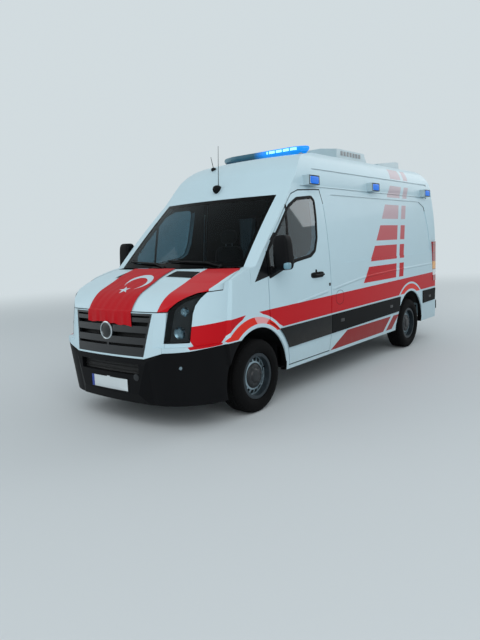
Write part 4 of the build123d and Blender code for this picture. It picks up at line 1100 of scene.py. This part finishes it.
class AMBULANCE_OT_sides(bpy.types.Operator):
    """Fit the door handles, locks, side markers, slider rail, step wells, arch liners and fuel flap"""
    bl_idname = "ambulance.sides"
    bl_label = "Sides"

    def execute(self, context):
        y = np.linspace(-0.985, -0.735, 14)
        rise = np.interp(y, (-0.985, -0.945, -0.775, -0.735), (0.002, 0.030, 0.030, 0.002))
        grip = pipe(np.column_stack((0.978 + rise, y, 1.228 + 0.02 * (y + 0.86))), 0.012, 12)
        shell = swollen_box((0.966, -1.0, 1.195), (0.984, -0.72, 1.262), 4.0, (16, 32))
        lock = spin([(-0.004, 0.0), (-0.004, 0.020), (0.006, 0.018), (0.008, 0.0)], (0.9755, -0.885, 1.272),
                    (1, 0, 0), 24)
        fit_pair("door_handle", [grip, shell, lock], "black", "door_front")
        cup = swollen_box((0.06, REAR_FACE - 0.004, 1.105), (0.19, REAR_FACE + 0.012, 1.175), 5.0, (14, 28))
        pull = pipe([(0.075, REAR_FACE + 0.010, 1.14), (0.085, REAR_FACE + 0.034, 1.14),
                     (0.165, REAR_FACE + 0.034, 1.14), (0.175, REAR_FACE + 0.010, 1.14)], 0.010, 12)
        fit("rear_handle_left", [cup, pull], "black", "rear_door_left")
        fit("rear_handle_right", [flipped(cup, -1.0)], "black", "rear_door_right")
        marks = [swollen_box((0.984, y - 0.045, 0.655), (0.9985, y + 0.045, 0.690), 6.0, (12, 24))
                 for y in (-0.35, 1.02, 2.45)]
        marks.append(swollen_box((0.979, -0.625, 1.090), (0.9895, -0.590, 1.125), 5.0, (12, 20)))
        fit("side_markers", both_sides(marks), "slat", sharp=False)
        rail_z = np.full(30, 1.02)
        path = np.column_stack((-side_x(rail_z) - 0.001, np.linspace(0.72, 2.50, 30), rail_z))
        rail = carried(path, (0.0, 0.0, 1.0), (-1.0, 0.0, 0.0),
                       [(-0.014, -0.003), (-0.014, 0.006), (0.014, 0.006), (0.014, -0.003)])
        fit("slider_rail", [rail], "black")
        fit("step_wells", both_sides(step_well()), "black")
        fit("arch_liners", both_sides([arch_liner()]), "black")
        slide = swollen_box((0.966, -0.49, 1.190), (0.995, -0.30, 1.255), 4.5, (16, 32))
        fit("slider_handle", [flipped(slide, -1.0)], "black", sharp=False)
        y, z = rounded([(-0.47, 0.86), (-0.47, 1.02), (-0.29, 1.02), (-0.29, 0.86)]).T
        joint = bordered(np.column_stack((side_x(z) + 0.0002, y, z)), (1.0, 0.0, 0.0),
                         [(-0.002, -0.001), (-0.002, 0.0005), (0.002, 0.0005), (0.002, -0.001)])
        fit("fuel_flap_joint", [joint], "seal", sharp=False)
        return {"FINISHED"}


SWAGE = np.array([(-1.30, 0.970), (-0.607, 1.044), (0.193, 1.124), (1.162, 1.152), (2.62, 1.170)])
SWAGE_SECTION = np.array([(-0.022, -0.002), (-0.022, 0.0), (-0.008, 0.0028), (0.0, 0.0034), (0.006, 0.0022),
                          (0.012, 0.0), (0.012, -0.002)])
SWAGE_STRETCHES = (("door_front", "left", -1.30, -0.625), ("door_front", "right", -1.30, -0.625),
                   ("body", "left", -0.560, 2.62), ("slider", "right", -0.515, 0.670),
                   ("body", "right", 0.725, 2.62))


class AMBULANCE_OT_swage(bpy.types.Operator):
    """Press the long swage line into each panel of the sides"""
    bl_idname = "ambulance.swage"
    bl_label = "Swage line"

    def execute(self, context):
        for panel, side, start, end in SWAGE_STRETCHES:
            y = np.linspace(start, end, 60)
            z = np.interp(y, *SWAGE.T)
            path = np.column_stack((side_x(z), y, z))
            fade = np.clip(np.minimum(y - start, end - y) / 0.05, 0, 1)[:, None, None]
            bead, flat = (carried(path, (0.0, 0.0, 1.0), (1.0, 0.0, 0.0), section)[0] for section in
                          (SWAGE_SECTION, SWAGE_SECTION * (1, 0) - (0, 0.002)))
            strip = flipped((flat + (bead - flat) * (0.2 + 0.8 * fade), False, True, True), dict(SIDES)[side])
            body = "door_front_" + side if panel == "door_front" else "ambulance"
            fit(f"swage_{panel}_{side}", [strip], "side", body, False)
        return {"FINISHED"}


class AMBULANCE_OT_hood_fittings(bpy.types.Operator):
    """Lay the hood's air vents"""
    bl_idname = "ambulance.hood_fittings"
    bl_label = "Hood vents"

    def execute(self, context):
        u = np.linspace(0, 1, 60)[:, None]
        v = np.linspace(0, 1, 40)
        x = 0.205 + (0.335 - 0.02 * v) * u
        y = -2.355 + 0.145 * v
        lift = 0.001 + 0.006 * np.abs(((v * 4) % 1.0) - 0.5) * (u > 0.02) * (u < 0.98)
        fit("hood_vents", both_sides([open_grid(x, y, nose_z(x, y) + lift)]), "black", "hood")
        return {"FINISHED"}


STAR_TURN = 2 * math.pi + 0.305  # turns the star so that one point faces the crescent's opening
STAR_EDGE = 3.078  # slope of a five-pointed star's edge
STAR_SIZE = 0.118


def flag_cloth():
    """Woven polyester flag, dyed red: matt with a soft sheen, a fine thread, and a white crescent and star in
    the cloth, set by the sheet's own UV map so they follow its folds."""
    made, tree, shader = new_material("red_polyester_flag", "#B5101F", 0.75, Sheen_Weight=0.08,
                                      Specular_IOR_Level=0.15)
    place = add_node(tree, "TexCoord", output=2)
    u, v, _ = add_node(tree, "SeparateXYZ", place).node.outputs
    crescent = both_of(tree, disc(tree, u, v, (0.650, 0.575), 0.262),
                       not_in(tree, disc(tree, u, v, (0.630, 0.638), 0.212)))
    across = add_node(tree, "Math SUBTRACT", u, 0.558)
    down = add_node(tree, "Math SUBTRACT", v, 0.866)
    far = add_node(tree, "Math MULTIPLY_ADD", down, down, add_node(tree, "Math MULTIPLY", across, across))
    fold = add_node(tree, "Math ADD", add_node(tree, "Math ARCTAN2", across, down), STAR_TURN)
    fold = add_node(tree, "Math PINGPONG", fold, math.pi / 5)
    edge = add_node(tree, "Math MULTIPLY_ADD", add_node(tree, "Math SINE", fold), STAR_EDGE,
                    add_node(tree, "Math COSINE", fold))
    far = add_node(tree, "Math MULTIPLY", add_node(tree, "Math SQRT", far), edge)
    thread, weft = (add_node(tree, "TexWave", place, 220.0, bands_direction=way) for way in "XY")
    figure = any_of(tree, crescent, between(tree, far, None, STAR_SIZE))
    tone = laid(tree, linear("#B80818"), (figure, "#C4DCE6"),
                (add_node(tree, "Math MULTIPLY", thread, 0.12), "#6E0712"))
    weave = add_node(tree, "Math ADD", thread, weft)
    feed(shader, Base_Color=tone, Normal=add_node(tree, "Bump", 0.2, 0.0004, 1.0, weave))
    return made


class AMBULANCE_OT_flag(bpy.types.Operator):
    """Drape the flag over the hood"""
    bl_idname = "ambulance.flag"
    bl_label = "Flag"

    def execute(self, context):
        # Rows run down the nose profile by the length along it, and each point stands off it by the ripple
        profile_radius, profile_height = NOSE_PROFILE.T
        reach = np.cumsum(np.r_[0, np.hypot(*np.diff(NOSE_PROFILE, axis=0).T)])
        u = np.linspace(0, 1, 110)[None, :]
        v = np.linspace(0, 1, 150)[:, None]
        start = np.interp(1.376, profile_height, reach)
        foot = np.interp(u, (0, 0.1, 0.25, 1.0), (0.938, 0.935, 0.945, 0.918))
        end = np.interp(foot, profile_height, reach) + 0.003 * np.sin(u * 23.0)
        along = start + (end - start) * v
        height = np.interp(along, reach, profile_height)
        gap = np.clip((1.047 - height) / 0.08, 0, 1)
        ripple = (0.0080 + 0.0010 * np.sin(u * 17 + v * 5) * np.sin(v * 4 + u * 3)
                  + 0.0008 * np.sin(u * 41 + v * 13) * (0.3 + v)
                  + gap * (0.004 * (1 + np.sin(u * 29 + 2.0)) + 0.0015 * np.sin(u * 61)))
        x = -0.52 + 0.22 * v + (0.64 - 0.03 * v) * u + 0.004 * np.sin(v * 9 + 1)
        radius = np.interp(along, reach, profile_radius)
        radius = radius + ripple * np.interp(along, reach, np.gradient(profile_height, reach))
        height = height - ripple * np.interp(along, reach, np.gradient(profile_radius, reach))
        sheet = open_grid(x, NOSE_CENTRE - np.sqrt(radius ** 2 - x ** 2), height)
        made = build_mesh("flag_sheet", [sheet], FINISHES["flag"])
        corners = read(made.data.loops, "vertex_index", 1, int)[:, 0]
        uv = np.stack(np.broadcast_arrays(u, 1.5 * v), axis=-1).reshape(-1, 2)
        made.data.uv_layers.new(name="cloth").data.foreach_set("uv", uv[corners].ravel())
        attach(made, "hood")
        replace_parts(made, "flag")
        return {"FINISHED"}


def blown_up(context, part, cap):
    """A pad's points and four-sided faces: the part is cut into 8 mm cells, blown up as cloth by an even
    pressure with no gravity, and no point ends further than cap from where it began."""
    pad = build_mesh("pad_form", [part], FINISHES["seat"])
    cells = pad.modifiers.new("cells", "REMESH")
    cells.mode = "VOXEL"
    cells.voxel_size = 0.008
    cut = bpy.data.meshes.new_from_object(pad.evaluated_get(context.evaluated_depsgraph_get()))
    pad.modifiers.clear()
    pad.data = cut
    points = read(cut.vertices, "co", 3)
    cloth = pad.modifiers.new("cloth", "CLOTH")
    cloth.settings.use_pressure = True
    cloth.settings.uniform_pressure_force = 4.0
    cloth.settings.effector_weights.gravity = 0.0
    for frame in range(1, 21):
        context.scene.frame_set(frame)
    blown = bpy.data.meshes.new_from_object(pad.evaluated_get(context.evaluated_depsgraph_get()))
    shift = read(blown.vertices, "co", 3) - points
    far = np.linalg.norm(shift, axis=1, keepdims=True)
    points = points + shift * np.minimum(1.0, cap / np.maximum(far, 1e-9))
    context.scene.frame_set(1)
    bpy.data.objects.remove(pad)
    return points, read(cut.loops, "vertex_index", 1, int).reshape(-1, 4)


SEAT_X = 0.40


def around_seat(low, high, power, steps, crown=0.0):
    """A rounded block centred on the left seat: low is half its width with its lowest Y and Z, and high is
    its highest Y and Z."""
    return swollen_box((SEAT_X - low[0], *low[1:]), (SEAT_X + low[0], *high), power, steps, crown)


class AMBULANCE_OT_cab(bpy.types.Operator):
    """Fit the seats' pads, stems and bases, and the dashboard's shroud, vents and block"""
    bl_idname = "ambulance.cab"
    bl_label = "Cab"

    def execute(self, context):
        # Each pad, its name, and how far the cloth may move
        cushion = around_seat((0.231, -1.141, 0.957), (-0.664, 1.049), 5.0, (40, 80), 0.006)
        back = around_seat((0.221, -0.718, 1.051), (-0.609, 1.581), 4.5, (60, 60))
        rest = around_seat((0.122, -0.694, 1.603), (-0.628, 1.772), 3.5, (24, 40))
        pads = ((cushion, "cushion", 0.008), (back, "back", 0.008), (rest, "head_rest", 0.004))
        for part, name, cap in pads:
            points, faces = blown_up(context, part, cap)
            seam = 0.007 * np.exp(-((np.abs(points[:, 0] - SEAT_X) - 0.14) / 0.008) ** 2)
            seam *= name != "head_rest"
            if name == "cushion":
                points[:, 2] -= seam * (points[:, 2] > 1.0)
            else:
                points[:, 1] += seam * (points[:, 1] < -0.66)
            for side, sign in SIDES:
                mesh = bpy.data.meshes.new(f"seat_{name}_{side}")
                mesh.from_pydata((points * (sign, 1, 1)).tolist(), [], faces[:, ::int(sign)].tolist())
                mesh.polygons.foreach_set("use_smooth", np.ones(len(faces), bool))
                pad = put_in_scene(mesh.name, mesh, FINISHES["seat"])
                fine = pad.modifiers.new("fine", "SUBSURF")
                fine.levels = fine.render_levels = 1
                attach(pad, "ambulance")
        stems = [pipe([(x, -0.662, 1.56), (x, -0.662, 1.63)], 0.006, 8)
                 for x in (SEAT_X - 0.05, SEAT_X + 0.05)]
        fit_pair("head_rest_stems", stems, "steel", sharp=False)
        base = around_seat((0.175, -1.07, 0.665), (-0.69, 0.965), 12.0, (12, 32))
        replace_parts(fit("seat_bases", both_sides([base]), "cab", sharp=False), "seats")
        shroud = swollen_box((0.26, -1.62, 1.235), (0.54, -1.44, 1.335), 4.0, (20, 36))
        vents = [swollen_box((x - 0.06, -1.468, 1.17), (x + 0.06, -1.425, 1.235), 6.0, (12, 24))
                 for x in (-0.66, -0.12, 0.12, 0.70)]
        block = swollen_box((-0.13, -1.452, 0.995), (0.13, -1.420, 1.150), 8.0, (12, 28))
        fit("dashboard_fittings", [shroud, *vents, block], "cab", sharp=False)
        return {"FINISHED"}


class AMBULANCE_OT_rear(bpy.types.Operator):
    """Fit the blank rear plate in its frame and the high brake light"""
    bl_idname = "ambulance.rear"
    bl_label = "Rear"

    def execute(self, context):
        plate = swollen_box((0.12, REAR_FACE - 0.002, 0.895), (0.64, REAR_FACE + 0.004, 1.005), 24.0,
                            (16, 48))
        fit("rear_plate", [plate], "plate", "rear_door_left", False)
        x, z = oblong((0.12, 0.895), (0.64, 1.005), 0.03, 1).T
        rim = bordered(np.column_stack((x, np.full(len(x), REAR_FACE + 0.003), z)), BACKWARD,
                       [(-0.008, -0.004), (-0.008, 0.003), (0.008, 0.003), (0.008, -0.004)])
        fit("rear_plate_frame", [rim], "black", "rear_door_left")
        spot = touch("roof", (0.0, 3.5, 2.43), FORWARD)
        lamp = swollen_box(spot - (0.17, 0.015, 0.018), spot + (0.17, 0.009, 0.018), 6.0, (16, 40))
        fit("high_brake_light", [lamp], "tail", sharp=False)
        return {"FINISHED"}


class AMBULANCE_OT_roof(bpy.types.Operator):
    """Fit the aerials and the roof unit's louvres"""
    bl_idname = "ambulance.roof"
    bl_label = "Roof"

    def execute(self, context):
        lean = np.linspace(0, 1, 6)[:, None]
        base_z = float(nose_z(0.0, -1.28))
        foot = swollen_box((-0.03, -1.37, base_z - 0.05), (0.03, -1.22, base_z + 0.045), 2.2, (20, 32))
        whip = pipe((0.0, -1.28, base_z + 0.03) + lean * (0.0, 0.03, 0.44), np.linspace(0.004, 0.0022, 6), 8)
        second_z = float(nose_z(-0.33, -0.96))
        knob = swollen_box((-0.355, -1.0, second_z - 0.02), (-0.305, -0.92, second_z + 0.03), 2.2, (16, 28))
        stub = pipe((-0.33, -0.96, second_z) + lean * (-0.02, -0.02, 0.15), np.linspace(0.004, 0.003, 6), 8)
        fit("aerials", [foot, whip, knob, stub], "seal", sharp=False)
        slat = [(-0.03, -0.002), (-0.03, 0.001), (0.0, 0.005), (0.03, 0.001), (0.03, -0.002)]
        louvres = [carried(np.array([(0.4215, y, 2.70), (0.4215, y, 2.755)]), (0.0, 1.0, 0.0),
                           (1.0, 0.0, 0.0), slat) for y in 0.78 + 0.085 * np.arange(7)]
        fit("roof_unit_louvres", both_sides(louvres), "steel")
        return {"FINISHED"}


class AMBULANCE_PT_sidebar(bpy.types.Panel):
    """The ambulance's settings, and its pieces in the order in which they are made"""
    bl_label = "Ambulance"
    bl_idname = "AMBULANCE_PT_sidebar"
    bl_space_type = "VIEW_3D"
    bl_region_type = "UI"
    bl_category = "Ambulance"

    def draw(self, context):
        for group in (context.scene.ambulance_sizes, context.scene.ambulance_colours):
            for name in group.__annotations__:
                self.layout.prop(group, name)
        for operator in OPERATORS:
            self.layout.operator(operator.bl_idname)


OPERATORS = (AMBULANCE_OT_finishes, AMBULANCE_OT_stage, AMBULANCE_OT_wheels, AMBULANCE_OT_glazing,
             AMBULANCE_OT_mirrors, AMBULANCE_OT_front, AMBULANCE_OT_lamps, AMBULANCE_OT_light_bar,
             AMBULANCE_OT_sides, AMBULANCE_OT_swage, AMBULANCE_OT_hood_fittings, AMBULANCE_OT_flag,
             AMBULANCE_OT_cab, AMBULANCE_OT_rear, AMBULANCE_OT_roof)
CLASSES = (AmbulanceSizes, AmbulanceColours, *OPERATORS, AMBULANCE_PT_sidebar)


def register():
    """Adds the panel, its operators and their settings."""
    for made in CLASSES:
        bpy.utils.register_class(made)
    bpy.types.Scene.ambulance_sizes = bpy.props.PointerProperty(type=AmbulanceSizes)
    bpy.types.Scene.ambulance_colours = bpy.props.PointerProperty(type=AmbulanceColours)


def unregister():
    """Takes them away again."""
    del bpy.types.Scene.ambulance_colours
    del bpy.types.Scene.ambulance_sizes
    for made in reversed(CLASSES):
        bpy.utils.unregister_class(made)


def main():
    """Makes every piece in order."""
    register()
    for operator in OPERATORS:
        getattr(bpy.ops.ambulance, operator.bl_idname.split(".")[1])()


if __name__ == "__main__":
    main()
